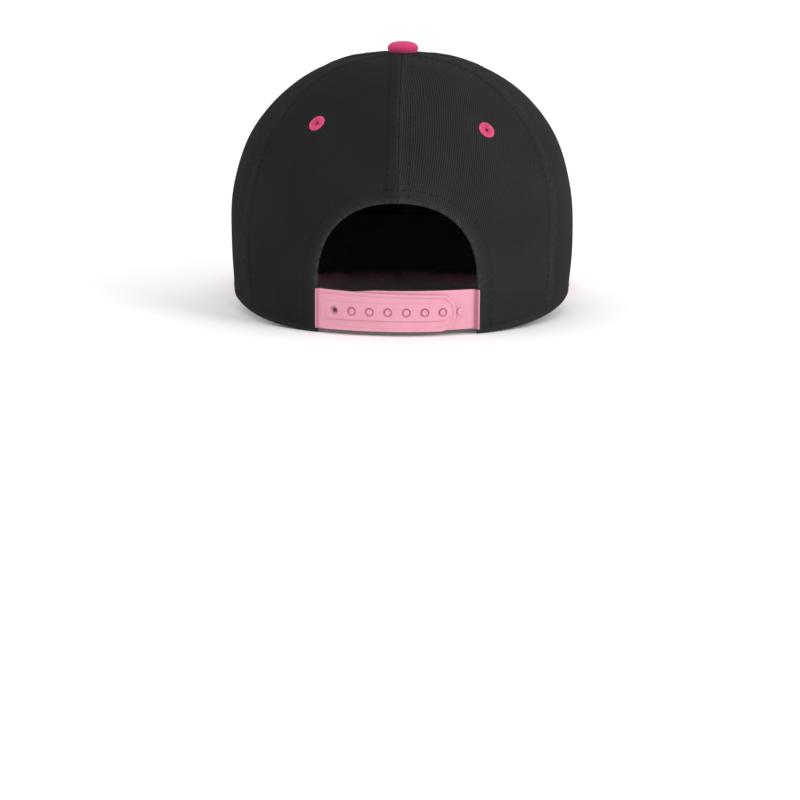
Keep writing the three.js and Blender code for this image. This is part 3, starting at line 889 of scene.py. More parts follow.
@dataclass(frozen=True)
class Eyelet:
    """Ring of close radial stitches worked round a hole, with a face on both sides."""

    crown: Crown
    outer_radius: float = 4.4
    hole_radius: float = 1.1
    neck_radius: float = 2.4
    height: float = 0.8
    threads: int = 46
    thread_depth: float = 0.26
    thread_power: float = 1.4
    thread_reach: float = 0.08
    sink: float = 0.1
    bulge_power: float = 0.8
    edge_share: float = 0.2
    ragged_depths: tuple[float, float] = (0.06, 0.048)
    ragged_waves: tuple[int, int] = (11, 17)
    ragged_phase: float = 1.3
    section_steps: int = 15
    around: int = 276

    def section(self, face: float) -> tuple[Array, ...]:
        """Section of the ring: two raised half ellipses and the neck between them.

        Args:
            face: Height of the cloth's outer face over the plain form.

        Returns:
            Radii, heights, outward signs of the heights, how far the threads stand out at each
            point, and 1 at the ring's outer edge.
        """
        middle, half = self.middle, (self.outer_radius - self.hole_radius) / 2
        t = np.linspace(0, math.pi, self.section_steps)
        front, back = face - self.sink, face - self.crown.form.wall
        bulge, lobe, neck = self.height * np.sin(t) ** self.bulge_power, np.sin(t) ** 0.5, np.zeros(2)
        radius = np.concatenate([middle - half * np.cos(t), neck + self.neck_radius,
                                 middle + half * np.cos(t)])
        height = np.concatenate([front + bulge, [front, back], back - bulge])
        sign = np.where(np.arange(len(height)) < len(t) + 1, 1, -1)
        edge = np.concatenate([t > (1 - self.edge_share) * math.pi, neck, t < self.edge_share * math.pi])
        return radius, height, sign, np.concatenate([lobe, neck, lobe]), edge

    @property
    def middle(self) -> float:
        """Radius of the ring's middle line."""
        return (self.outer_radius + self.hole_radius) / 2

    def build(self, place: PanelPlace, side: int, material: bpy.types.Material) -> bpy.types.Object:
        """Build the eyelet of one panel.

        The section goes round the hole. It is ribbed by |cos| of the thread count, and its
        outer edge is ragged by two sines, because each thread is longer or shorter than the next.

        Args:
            place: Which panel of its side.
            side: 1 on the wearer's left and -1 on the right.
            material: Finish of the threads.

        Returns:
            The eyelet's object.
        """
        crown = self.crown
        azimuth, height = place.eyelet(side)
        centre, normal = crown.eyelet_seat(place, side)
        where = np.array([azimuth])
        face = crown.outer_relief(where, crown.form.climb_at(where, np.array([height])))[0]
        r, z, sign, lobe, edge = self.section(face)
        turn = np.arange(self.around) * TAU / self.around
        rib = np.abs(np.cos(turn * self.threads / 2))[:, None] ** self.thread_power
        sines = zip(self.ragged_depths, self.ragged_waves, (self.ragged_phase, azimuth))
        ragged = sum(depth * np.sin(turn * waves + phase) for depth, waves, phase in sines)
        radius = r[None, :] + edge * (ragged[:, None] + self.thread_reach * (rib - 1))
        lift = z[None, :] + sign * lobe * self.thread_depth * (rib - 1)
        rings = centre + radius[..., None] * spokes(normal, turn)[:, None] + lift[..., None] * normal
        parts = MeshParts()
        uv = np.stack([turn[:, None] * self.middle + 0 * radius, radius], axis=-1) * MM
        parts.add_tube(rings, uv, closed=True)
        name = place.node("eyelet", side)
        return parts.build(f"{name}_threads", crown.placement, material, Slot.THREAD, name)


@dataclass(frozen=True)
class Button:
    """Cloth-covered button over the apex, its post and the plain washer under the cloth."""

    form: CrownForm
    placement: Placement
    radius: float = 7.75
    height: float = 5.3
    seat: float = 131.1
    waist: float = 1.9
    foot_share: float = 0.88
    foot_drop: float = 0.2
    dome_power: float = 0.78
    pleats: int = 26
    pleat_depth: float = 0.14
    pleat_fade: float = 0.5
    pleat_waver: tuple[float, int] = (0.7, 3)
    post_radius: float = 1.9
    post_lap: float = 0.4
    washer_radius: float = 5.0
    washer_thickness: float = 0.9
    washer_chamfer: tuple[float, float] = (0.3, 0.25)
    pole: float = 0.05
    around: int = 208

    def build(self, material: bpy.types.Material) -> bpy.types.Object:
        """Build the button.

        Over its widest line, at the height waist, the dome's radius is radius * cos(a)^dome_power
        at the height waist + (height - waist) * sin(a). Under it the cloth tucks in and gathers:
        pleats are cosines round the rim that fade upwards.

        Args:
            material: Finish of the cloth.

        Returns:
            The button's object.
        """
        a = np.linspace(0, math.pi / 2, 26)[:-1]
        tuck = np.linspace(0, 1, 9)[:-1]
        foot = self.foot_share + (1 - self.foot_share) * np.sin(tuck * math.pi / 2)
        r = np.concatenate([self.radius * foot, self.radius * np.cos(a) ** self.dome_power])
        z = np.concatenate([self.waist * ((1 + self.foot_drop) * tuck - self.foot_drop),
                            self.waist + (self.height - self.waist) * np.sin(a)])
        gather = np.concatenate([1 - tuck / 2, np.clip(1 - a / self.pleat_fade, 0, 1) ** 2 / 2])
        under = self.form.height - self.form.wall - self.form.clearance - self.washer_thickness
        over, (chamfer, bevel) = under + self.washer_thickness, self.washer_chamfer
        foot_r = np.array([self.pole, self.washer_radius - chamfer, self.washer_radius,
                           self.washer_radius, self.post_radius, self.post_radius])
        foot_z = np.array([under, under, under + bevel, over, over, self.seat - self.post_lap])
        r = np.concatenate([foot_r, r, [self.pole]])
        z = np.concatenate([foot_z, self.seat + z, [self.seat + self.height]])
        gather = np.concatenate([np.zeros(len(foot_r)), gather, [0]])
        turn = -np.arange(self.around) * TAU / self.around
        waver, waves = self.pleat_waver
        fold = np.cos(turn * self.pleats + waver * np.sin(waves * turn))[None, :]
        radius = r[:, None] + self.pleat_depth * gather[:, None] * fold
        rings = np.stack([radius * np.sin(turn), radius * np.cos(turn),
                          z[:, None] + 0 * radius], axis=-1)
        parts = MeshParts()
        down = run_along(np.stack([r, z], axis=-1)[::-1])[::-1]
        uv = down[:, None, None] * np.stack([np.sin(turn), np.cos(turn)], axis=-1) * MM
        parts.add_tube(rings[:, ::-1], uv[:, ::-1])
        return parts.build("button_cover", self.placement, material, Slot.ACCENT, "button")


@dataclass(frozen=True)
class Brim:
    """Flat cloth-covered board with rows of stitching that follow its edge."""

    form: CrownForm
    placement: Placement
    side_spread: float = 19.0
    front_spread: float = 92.0
    side_reach: float = 68.0
    root_overhang: float = 1.0
    edge_roll: float = 1.5
    stitch_rows: int = 8
    first_row: float = 5.5
    row_pitch: float = 7.0
    groove_depth: float = 0.3
    groove_width: float = 0.9
    ripple_height: float = 0.08
    ripple_rates: tuple[float, float] = (0.31, 0.23)
    edge_wear: float = 1.5
    edge_wear_share: float = 0.5
    edge_lines: tuple[float, ...] = (0.1, 0.28, 0.55, 0.95, 1.5, 2.2, 3.0)
    pitch: float = 0.8
    columns: int = 190
    crown_gap: float = 1.0
    row_slack: float = 0.2
    shortest_row: int = 20
    thread_lift: float = 0.1
    stitching: Stitching = Stitching(length=2.9, gap=0.5, width=0.55)

    def root(self, share: Array) -> Array:
        """Plan of the edge under the crown, from the wearer's left corner round the front."""
        form = self.form
        start = form.brim_root_azimuth
        azimuth = start + (TAU - 2 * start) * share
        reach = form.oval(azimuth) * form.wall_share(form.brim_root_height) - form.wall
        return np.stack([reach * np.sin(azimuth), reach * np.cos(azimuth)], axis=-1)

    def outline(self, share: Array) -> Array:
        """Plan of the free edge: a cubic curve from the left corner to the tip, and its mirror.

        Args:
            share: Fractions of the way from the left corner to the right one.

        Returns:
            Plan points.
        """
        corner = self.root(np.zeros(1))[0]
        corner = corner * (1 + (self.form.wall + self.root_overhang) / self.form.half_width)
        tip = -(self.form.front_length + self.form.brim_length)
        knots = np.array([corner, [corner[0] + self.side_spread, corner[1] - self.side_reach],
                          [self.front_spread, tip], [0.0, tip]])
        t = 1 - np.abs(2 * share - 1)
        weight = np.stack([(1 - t) ** 3, 3 * t * (1 - t) ** 2, 3 * t * t * (1 - t), t ** 3], axis=-1)
        return (weight @ knots) * np.stack([np.where(share > 0.5, -1, 1), np.ones_like(share)], -1)

    def even_share(self, curve: Callable[[Array], Array], count: int) -> Array:
        """Shares of a plan curve at even distances along it."""
        share = np.linspace(0, 1, 2001)
        run = run_along(curve(share))
        return np.interp(np.linspace(0, 1, count), run / run[-1], share)

    def edge_distance(self, plan: Array) -> Array:
        """Distance of plan points to the free edge, its two short corner sides included.

        Args:
            plan: Plan points.

        Returns:
            Distances to the nearest of the edge's own points.
        """
        share = np.linspace(0, 1, 700)
        corners = self.root(np.array([0.0, 1.0]))
        edge = self.outline(share)
        edge = np.concatenate([np.linspace(corners[0], edge[0], 12), edge,
                               np.linspace(edge[-1], corners[1], 12)])
        flat = plan.reshape(-1, 2)
        near = [np.min(np.linalg.norm(block[:, None] - edge, axis=-1), axis=1)
                for block in np.array_split(flat, 24)]
        return np.concatenate(near).reshape(plan.shape[:-1])

    def relief(self, distance: Array) -> Array:
        """Sink of the cloth below the board's face: the rolled edge and a groove at each row."""
        rows = self.first_row + self.row_pitch * np.arange(self.stitch_rows)
        grooves = np.exp(-((distance[..., None] - rows) / self.groove_width) ** 2).sum(-1)
        return edge_roll(distance, self.edge_roll) + self.groove_depth * grooves

    def face(self, plan: Array, sink: Array, top: bool) -> Array:
        """Points of the upper or lower face over plan points."""
        height = self.form.brim_top(plan[..., 1])
        height = height - sink if top else height - self.form.brim_thickness + sink
        return np.concatenate([plan, height[..., None]], axis=-1)

    def build(self, material: bpy.types.Material) -> bpy.types.Object:
        """Build the board: straight lines in plan from the root to the free edge.

        The cloth coordinates are the plan's, carried on outwards by the sink so that the weave
        wraps the rolled edge.

        Args:
            material: Finish of the cloth.

        Returns:
            The brim's object.
        """
        outer = self.outline(self.even_share(self.outline, self.columns))
        root = self.root(self.even_share(self.root, self.columns))
        out = 1 - graded(self.form.brim_length, self.edge_lines, (), self.pitch)[::-1]
        plan = root + (outer - root) * out[:, None, None]
        distance = self.edge_distance(plan)
        sink = self.relief(distance)
        ripple = self.ripple_height * np.sin(plan * self.ripple_rates).prod(axis=-1)
        wear = self.edge_wear_share * np.exp(-distance / self.edge_wear)
        cloth = plan + unit(plan) * sink[..., None]
        parts = MeshParts()
        parts.add_shell(self.face(plan, sink + ripple, True), self.face(plan, sink - ripple, False),
                        uv=cloth * MM, wear=wear)
        return parts.build("brim_cover", self.placement, material, Slot.ACCENT, "brim")

    def stitches(self, material: bpy.types.Material) -> bpy.types.Object:
        """Sew the rows on both faces, each at its distance inside the free edge.

        Args:
            material: Finish of the thread.

        Returns:
            The stitches' object.
        """
        form, parts = self.form, MeshParts()
        edge = self.outline(self.even_share(self.outline, 900))
        along = unit(np.gradient(edge, axis=0))
        inward = np.stack([along[:, 1], -along[:, 0]], axis=-1)
        for order in range(self.stitch_rows):
            away = self.first_row + self.row_pitch * order
            row = edge + inward * away
            azimuth = np.arctan2(row[:, 0], row[:, 1])
            clear = np.hypot(row[:, 0], row[:, 1]) > form.oval(azimuth) + self.crown_gap
            clear &= self.edge_distance(row) > away - self.row_slack
            row = row[clear]
            if len(row) < self.shortest_row:
                continue
            sink = np.full(len(row), self.groove_depth - self.thread_lift)
            tilt = math.tan(form.brim_slope)
            normal = unit(np.tile([0, -tilt, 1.0], (len(row), 1)))
            self.stitching.lay(parts, self.face(row, sink, True), normal)
            self.stitching.lay(parts, self.face(row, sink, False), -normal)
        return parts.build("brim_stitches", self.placement, material, Slot.ACCENT)


@dataclass(frozen=True)
class Sweatband:
    """Cloth band inside the rim, from one strap tab round the front to the other."""

    form: CrownForm
    placement: Placement
    band_height: float = 32.0
    hem: float = 1.0
    thickness: float = 1.6
    roll: float = 0.7
    lean: float = 0.7
    gap: float = 0.2
    front_ease: float = math.radians(25.0)
    slack: Wave = Wave(0.22, 7, 0.0, 0.5)
    ripple: Wave = Wave(0.12, 17, 0.1, 0.0)
    stitch_inset: float = 3.0
    seam_height: float = 0.3
    seam_width: float = 0.8
    edge_wear: float = 1.4
    pitch: float = 1.8
    columns: int = 260
    end_gap: float = 0.02
    thread_lift: float = 0.08
    edge_lines: tuple[float, ...] = (0.1, 0.25, 0.5, 0.8, 1.3, 2.0, 2.7, 3.3, 4.0)
    stitching: Stitching = Stitching(length=2.6, gap=0.7, width=0.45)

    def foot(self, azimuth: Array) -> Array:
        """Height of the lower edge: over the rim's hem, and over the brim's underside in front."""
        form = self.form
        angle = np.abs(np.arctan2(np.sin(azimuth), np.cos(azimuth)))
        front = form.brim_root_azimuth
        share = smooth_step(front - self.front_ease, front, angle)
        drop = self.hem + form.clearance + form.brim_thickness
        return form.rim(azimuth) + self.hem - drop * share

    def faces(self, azimuth: Array, up: Array) -> tuple[Array, Array]:
        """Offsets of the outer and inner face: slow waves, rolled edges and a slight lean.

        Args:
            azimuth: Angles in plan, in radians.
            up: Distances over the band's lower edge.

        Returns:
            Both offsets from the crown's form.
        """
        away = np.minimum(up, self.band_height - up)
        wave = self.slack.at(azimuth, up) * np.sin(up / self.band_height * math.pi / 2)
        wave = wave + self.ripple.at(azimuth, up)
        lean = self.lean * (up / self.band_height) ** 2
        roll = edge_roll(away, self.roll)
        seam = self.seam_height * np.exp(-((away - self.stitch_inset) / self.seam_width) ** 2)
        outer = -self.form.wall - self.form.clearance - roll - self.gap
        inner = outer + 2 * roll - self.thickness - lean + wave + seam
        return outer, inner

    def build(self, start: float, material: bpy.types.Material) -> bpy.types.Object:
        """Build the band between the strap's two tabs.

        Args:
            start: Azimuth of the end of the tab on the wearer's left.
            material: Finish of the cloth.

        Returns:
            The band's object.
        """
        form = self.form
        up = graded(self.band_height, self.edge_lines, self.edge_lines, self.pitch) * self.band_height
        azimuth = np.linspace(start, TAU - start, self.columns)[None, :]
        up = up[:, None] + 0 * azimuth
        climb = self.foot(azimuth) + up - form.wall_top
        outer, inner = self.faces(azimuth, up)
        parts = MeshParts()
        uv = np.stack([-azimuth * form.half_width + 0 * up, up], axis=-1) * MM
        away = np.minimum(up, self.band_height - up)
        parts.add_shell(form.offset(azimuth + 0 * up, climb, outer),
                        form.offset(azimuth + 0 * up, climb, inner), uv=uv,
                        wear=np.exp(-away / self.edge_wear), flip=True)
        return parts.build("sweatband_cloth", self.placement, material, Slot.BAND, "sweatband")

    def stitches(self, start: float, material: bpy.types.Material) -> bpy.types.Object:
        """Sew one row near each long edge of the band, on the face towards the head.

        Args:
            start: Azimuth of the end of the tab on the wearer's left.
            material: Finish of the thread.

        Returns:
            The stitches' object.
        """
        form, parts = self.form, MeshParts()
        start = start + self.end_gap
        azimuth = np.linspace(start, TAU - start, 1600)
        for height in (self.stitch_inset, self.band_height - self.stitch_inset):
            up = np.full_like(azimuth, height)
            climb = self.foot(azimuth) + up - form.wall_top
            _, inner = self.faces(azimuth, up)
            path = form.offset(azimuth, climb, inner - self.thread_lift)
            self.stitching.lay(parts, path, -form.normal(azimuth, climb))
        return parts.build("sweatband_stitches", self.placement, material, Slot.BAND)


class Fastening(Enum):
    """The two halves of the snap strap, by the side that their root is sewn to."""

    HOLES = 1
    PEGS = -1


@dataclass(frozen=True)
class Ridge:
    """Ridge across a half's root: its place, its slope's run and the share of painted shade on each of
    its two slopes.
    """

    run: float
    slope: float
    inner_shade: float
    outer_shade: float


@dataclass(frozen=True)
class SnapStrap:
    """Two moulded strap halves that lap over the opening and snap together.

    Sizes are in millimetres. Each half has its own run x along the line of holes: 0 at the
    centre back, negative towards its tip and positive towards its root.
    """

    form: CrownForm
    placement: Placement
    row_height: float = 12.0
    below: float = 9.6
    above: float = 10.2
    tip_drop: float = 2.0
    pegged_tip_drop: float = 1.3
    pegged_drop_run: tuple[float, float] = (20.0, 2.0)
    plate: float = 1.5
    proud: float = 0.7
    end_length: float = 8.0
    hole_pitch: float = 8.87
    hole_count: int = 7
    tip_reach: float = 7.1
    bead_width: float = 1.4
    bead_height: float = 0.38
    edge_roll: float = 0.4
    rib_half_height: float = 4.2
    rib_height: float = 0.42
    tab_thickness: float = 1.2
    tab_length: float = 18.0
    shoulder_height: float = 0.8
    lip_reach: float = 0.5
    hole_radius: float = 1.2
    countersink_radius: float = 2.35
    countersink_wall: float = 0.28
    countersink_depth: float = 0.95
    countersink_wall_share: float = 0.85
    # Painted shade of the holed half's face: place and width of the darkened lines beside the bead and
    # the rib, their share, and the share and fade of the darkening in the holes.
    bead_shade: tuple[float, float] = (0.25, 0.3)
    rib_shade: tuple[float, float] = (0.2, 0.25)
    line_shade: float = 0.22
    hole_shade: float = 0.42
    hole_shade_fade: float = 0.4
    bead_step: float = 0.25
    rib_step: float = 0.22
    ring_margin: float = 0.2
    tip_blend: tuple[float, float] = (0.52, 0.97)
    peg_neck_radius: float = 0.85
    peg_head_radius: float = 1.45
    peg_head_from: float = 0.3
    peg_head_to: float = 1.05
    peg_shift: float = 0.22
    peg_sides: int = 32
    root_ease: float = 3.4
    root_fade: float = 0.7
    plain_pitch: float = 0.7
    tip_lines: tuple[float, ...] = (0.0, 0.12, 0.3, 0.55, 0.85, 1.15, 1.5, 2.0)
    rib_lines: tuple[float, ...] = (-0.2, -0.08, 0.08, 0.2)
    edge_lines: tuple[float, ...] = (5.0, 5.8, 6.4, 6.75, 6.95, 7.15, 7.4, 7.75, 8.05, 8.2, 8.33,
                                     8.43, 8.5)
    # Ridges at the halves' roots, each with the share of painted shade on its inner and outer slope.
    holed_ridge: Ridge = Ridge(-0.5, 1.5, 1.0, 1.0)
    pegged_ridge: Ridge = Ridge(-0.15, 2.2, 1.0, 0.7)
    hole_lines: tuple[float, ...] = (0.0, 0.3, 0.6, 0.9, 1.2, 1.45, 1.8, 2.0, 2.1, 2.2, 2.3, 2.38,
                                     2.5, 2.8, 3.2, 3.8)

    @property
    def holes(self) -> Array:
        """Runs of the holes, or of the pegs, from the tip."""
        return self.hole_pitch * (np.arange(self.hole_count) - self.hole_count / 2 + 1)

    @property
    def tip(self) -> float:
        """Run of the tip."""
        return float(self.holes[0]) - self.tip_reach

    def arc_table(self) -> tuple[Array, Array]:
        """Azimuths and the lengths of the line of holes up to them."""
        azimuth = np.linspace(0, PanelPlace.BACK.seams[1], 1200)
        line = self.form.point(azimuth, np.full_like(azimuth, self.row_height - self.form.wall_top))
        return azimuth, run_along(line)

    def side_run(self, height: Array) -> Array:
        """Run of the opening's upright side at heights over the line of holes."""
        azimuth, run = self.arc_table()
        across = self.form.oval(azimuth) * np.sin(azimuth)
        share = self.form.wall_share(self.row_height + height)
        return np.interp(self.form.arch_half_width / share, across, run)

    def root(self) -> float:
        """Run at which the half meets the side of the opening on the line of holes."""
        return float(self.side_run(np.zeros(1))[0])

    def tab_end(self) -> float:
        """Azimuth of the end of the sewn tab."""
        azimuth, run = self.arc_table()
        return float(np.interp(self.root() + self.tab_length, run, azimuth))

    def place(self, side: int, x: Array, height: Array, offset: Array) -> Array:
        """Points at a run, a height over the line of holes and an offset from the crown's form.

        Args:
            side: 1 or -1, the side of the half's root.
            x: Runs.
            height: Heights.
            offset: Offsets.

        Returns:
            Points with a last axis of x, y and z.
        """
        azimuth, run = self.arc_table()
        where = side * np.sign(x) * np.interp(np.abs(x), run, azimuth)
        return self.form.offset(where, self.row_height + height - self.form.wall_top, offset)

    def top_edge(self, x: Array, half: Fastening) -> Array:
        """Height of the top edge over the line of holes.

        The holed half's drops evenly to its tip, and the pegged half's only near the tip.
        """
        if half is Fastening.HOLES:
            share = (self.root() - x) / (self.root() - self.tip)
            return self.above - self.tip_drop * np.clip(share, 0, 1)
        return self.above - self.pegged_tip_drop * smooth_step(*self.pegged_drop_run, x - self.tip)

    def radial_warp(self, x: Array, y: Array) -> tuple[Array, Array]:
        """Turn the square rings of grid lines round each hole into circles.

        A point at the larger coordinate c and the distance e from its hole moves by the factor
        1 + w (c/e - 1), where w is 1 up to the countersink and falls to 0 at the rib's edge.
        """
        nearest = self.holes[np.argmin(np.abs(x[..., None] - self.holes), axis=-1)]
        dx = x - nearest
        c, e = np.maximum(np.abs(dx), np.abs(y)), np.maximum(np.hypot(dx, y), 1e-9)
        w = 1 - smooth_step(self.countersink_radius + self.ring_margin, self.rib_half_height, c)
        factor = 1 + w * (c / e - 1)
        return nearest + dx * factor, y * factor

    def tip_warp(self, x: Array, y: Array, middle: Array, half: Array) -> tuple[Array, Array]:
        """Round the square tip into a half ellipse, leaving the last hole as it is."""
        start = self.tip + self.end_length
        across, up = np.minimum(x - start, 0) / self.end_length, (y - middle) / half
        c, e = np.maximum(np.abs(across), np.abs(up)), np.maximum(np.hypot(across, up), 1e-9)
        factor = np.where(x < start, 1 + smooth_step(*self.tip_blend, c) * (c / e - 1), 1.0)
        run = np.where(x < start, start + across * self.end_length * factor, x)
        return run, middle + up * half * factor

    def edge_distance(self, x: Array, y: Array, middle: Array, half: Array) -> Array:
        """Distance inside the outline: to the long edges, or along the ray from the tip's centre."""
        start = self.tip + self.end_length
        across, up = np.minimum(x - start, 0), y - middle
        norm = np.maximum(np.hypot(across / self.end_length, up / half), 1e-6)
        inside = np.where(x < start, (1 / norm - 1) * np.hypot(across, up), half - np.abs(up))
        return np.maximum(0, inside)

    def rib_inset(self, x: Array, y: Array) -> Array:
        """Distance inside the rib's outline, which is round at the tip and square at the root."""
        last, first = self.holes[-1] + self.rib_half_height, self.holes[0]
        square = np.minimum(self.rib_half_height - np.abs(y), last - x)
        return np.where(x < first, self.rib_half_height - np.hypot(x - first, y), square)

    def hole_distance(self, x: Array, y: Array) -> Array:
        """Distance to the middle of the nearest hole."""
        return np.min(np.hypot(x[..., None] - self.holes, y[..., None]), axis=-1)

    def painted_shade(self, x: Array, y: Array, edge: Array) -> Array:
        """How much painted shade the holed half's face gets: in the creases beside the bead and the rib,
        and in the holes.
        """
        (bead_place, bead_width), (rib_place, rib_width) = self.bead_shade, self.rib_shade
        bead = np.exp(-((edge - self.bead_width - bead_place) / bead_width) ** 2)
        rib = np.exp(-((self.rib_inset(x, y) + rib_place) / rib_width) ** 2)
        radius = self.countersink_radius
        hole = smooth_step(radius, radius - self.hole_shade_fade, self.hole_distance(x, y))
        return np.maximum(self.line_shade * np.maximum(bead, rib), self.hole_shade * hole)

    def face(self, x: Array, y: Array, edge: Array) -> Array:
        """Height of the holed half's face: a bead round the edge, a raised rib and dished holes.

        Args:
            x: Runs.
            y: Heights over the line of holes.
            edge: Distances inside the outline.

        Returns:
            Offsets from the crown's form.
        """
        bead = 1 - smooth_step(-self.bead_step, self.bead_step, edge - self.bead_width)
        rib = smooth_step(-self.rib_step, self.rib_step, self.rib_inset(x, y))
        face = self.proud + self.bead_height * bead + self.rib_height * rib
        away = self.hole_distance(x, y)
        inner, outer = self.hole_radius, self.countersink_radius
        wall = smooth_step(outer, outer - self.countersink_wall, away)
        dish = np.clip((outer - away) / (outer - inner), 0, 1)
        share = self.countersink_wall_share
        return face - self.countersink_depth * (share * wall + (1 - share) * dish)

    def root_profile(self, half: Fastening, front: float, back: float) -> dict[str, Array]:
        """Stations past the plate: a ridge, its lip over the cloth and the sewn tab.

        The holed half's ridge stands well inside its end, and the pegged half's close to it.

        Args:
            half: Which half.
            front: Offset of the plate's face.
            back: Offset of the plate's back.

        Returns:
            Named columns: run, offset and draw-in of the front, the same of the back, and the share
            of painted shade on the front. Runs count from the side of the opening, and a draw-in
            narrows the strip at both long edges.
        """
        shape = self.holed_ridge if half is Fastening.HOLES else self.pegged_ridge
        ridge, slope = shape.run, shape.slope
        inner, outer = shape.inner_shade, shape.outer_shade
        top = self.proud + self.shoulder_height
        rise, start, out = top - front, ridge - slope, self.lip_reach - ridge
        tab = -self.form.wall - 1.5 * self.form.clearance
        rear = tab - self.tab_thickness
        # The last column is the share of painted shade on the front: on the ridge's slopes, on the lip
        # over the cloth and where it turns in.
        rows = np.array([
            (start, front, 0.0, -2.9, back, 0.0, 0.2 * inner),
            (start + 0.2 * slope, front + 0.06 * rise, 0.0, -2.5, back, 0.0, 0.6 * inner),
            (start + 0.4 * slope, front + 0.28 * rise, 0.0, -2.1, back, 0.0, 0.8 * inner),
            (start + 0.6 * slope, front + 0.58 * rise, 0.0, -1.8, back, 0.2, 0.9 * inner),
            (start + 0.78 * slope, front + 0.84 * rise, 0.0, -1.7, back - 0.1, 0.5, 0.6 * inner),
            (start + 0.9 * slope, front + 0.96 * rise, 0.0, -1.62, back - 0.5, 0.8, 0.0),
            (ridge, top, 0.0, -1.55, rear + 0.3, 1.1, 0.0),
            (ridge + 0.1 * out, top - 0.04, 0.0, -1.5, rear + 0.05, 1.3, 0.3 * outer),
            (ridge + 0.25 * out, top - 0.22, 0.0, -1.3, rear, 1.4, outer),
            (ridge + 0.5 * out, top - 0.55, 0.1, -1.1, rear, 1.4, outer),
            (ridge + 0.75 * out, top - 0.85, 0.4, -0.9, rear, 1.4, outer),
            (ridge + 0.92 * out, top - 1.0, 0.75, -0.8, rear, 1.4, 0.8 * outer),
            (ridge + out, top - 1.06, 1.1, -0.6, rear, 1.4, 0.5),
            (0.46, 0.42, 1.15, -0.5, rear, 1.4, 0.5),
            (0.30, 0.34, 1.0, -0.4, rear, 1.4, 0.5),
            (-0.20, 0.30, 0.5, -0.3, rear, 1.4, 0.5),
            (-0.30, 0.00, 0.4, -0.2, rear, 1.4, 0.5),
            (-0.30, -1.00, 0.8, -0.1, rear, 1.4, 0.0),
            (-0.30, tab + 0.1, 1.2, 0.0, rear, 1.4, 0.0),
            (-0.20, tab, 1.4, 0.2, rear, 1.4, 0.0),
            (1.50, tab, 1.4, 1.5, rear, 1.4, 0.0),
            (5.00, tab, 1.4, 5.0, rear, 1.4, 0.0),
            (9.00, tab, 1.4, 9.0, rear, 1.4, 0.0),
            (13.0, tab, 1.4, 13.0, rear, 1.4, 0.0),
            (17.0, tab, 1.4, 17.0, rear, 1.4, 0.0),
            (17.8, tab - 0.1, 1.5, 17.8, rear + 0.1, 1.5, 0.0),
            (18.0, tab - 0.4, 1.7, 18.0, rear + 0.4, 1.7, 0.0),
        ])
        names = ("front_run", "front_offset", "front_draw", "back_run", "back_offset",
                 "back_draw", "painted_shade")
        return dict(zip(names, rows.T))

    def run_lines(self) -> Array:
        """Runs of the grid lines over the plate: rings of lines round each hole."""
        offsets = np.concatenate([-np.array(self.hole_lines[1:])[::-1], self.hole_lines])
        lines = (self.holes[:, None] + offsets).ravel()
        tip = self.tip + np.array(self.tip_lines)
        rib_end = self.holes[-1] + self.rib_half_height + np.array([*self.rib_lines, 0.5])
        rest = np.arange(rib_end[-1] + 0.6, self.root() - self.root_ease, self.plain_pitch)
        return np.unique(np.round(np.concatenate([tip, lines, rib_end, rest]), 4))

    def height_lines(self) -> Array:
        """Shares of the height between the edges, from -1 to 1, with hole and bead lines."""
        rib = self.rib_half_height + np.array(self.rib_lines)
        return np.concatenate([self.hole_lines, rib, self.edge_lines])

    def spread(self, top: Array, bottom: Array) -> tuple[Array, Array]:
        """Rows of the grid: their square coordinate and their height between the edges.

        Rows inside the rib keep their height, and the rest share the way out to the edge.

        Args:
            top: Height of the top edge at each run.
            bottom: Height of the bottom edge at each run.

        Returns:
            The square coordinates as a column, and the heights as a grid.
        """
        lines = self.height_lines()
        square = np.concatenate([-lines[1:][::-1], lines])[:, None]
        limit = self.rib_half_height + self.rib_lines[-1]
        beyond = np.clip((np.abs(square) - limit) / (lines[-1] - limit), 0, None)
        reach = np.where(square > 0, top, -bottom)
        outside = limit + beyond * (reach - limit)
        return square, np.sign(square) * np.where(beyond > 0, outside, np.abs(square))

    def hole_mask(self, run: Array, square: Array) -> Array:
        """Cells that are plastic: those outside the squares that turn into holes."""
        across, up = (run[:, :-1] + run[:, 1:]) / 2, (square[:-1] + square[1:]) / 2
        away = np.maximum(np.abs(across[..., None] - self.holes), np.abs(up[..., None]))
        return np.min(away, axis=-1) > self.hole_radius

    def half(self, half: Fastening, material: bpy.types.Material) -> bpy.types.Object:
        """Build one half.

        Args:
            half: Which half.
            material: Its finish.

        Returns:
            The half's object.
        """
        side, holed = half.value, half is Fastening.HOLES
        front = self.proud if holed else self.proud - self.plate - self.form.clearance
        back, root = front - self.plate, self.root()
        profile, runs = self.root_profile(half, front, back), self.run_lines()
        count = len(runs)
        run = np.concatenate([runs, root + profile["front_run"]])[None, :]
        back_run = np.concatenate([runs, root + profile["back_run"]])[None, :]
        draw, back_draw = (np.concatenate([np.zeros(count), profile[name]])
                           for name in ("front_draw", "back_draw"))
        top, bottom = self.top_edge(run, half) - draw, draw - self.below
        square, y = self.spread(top, bottom)
        _, back_y = self.spread(self.top_edge(run, half) - back_draw, back_draw - self.below)
        x = run + 0 * y
        if holed:
            x[:, :count], y[:, :count] = self.radial_warp(x[:, :count], y[:, :count])
        middle, extent = (top + bottom) / 2 + 0 * y, (top - bottom) / 2 + 0 * y
        x, y = self.tip_warp(x, y, middle, extent)
        edge = self.edge_distance(x, y, middle, extent)
        roll = edge_roll(edge, self.edge_roll)
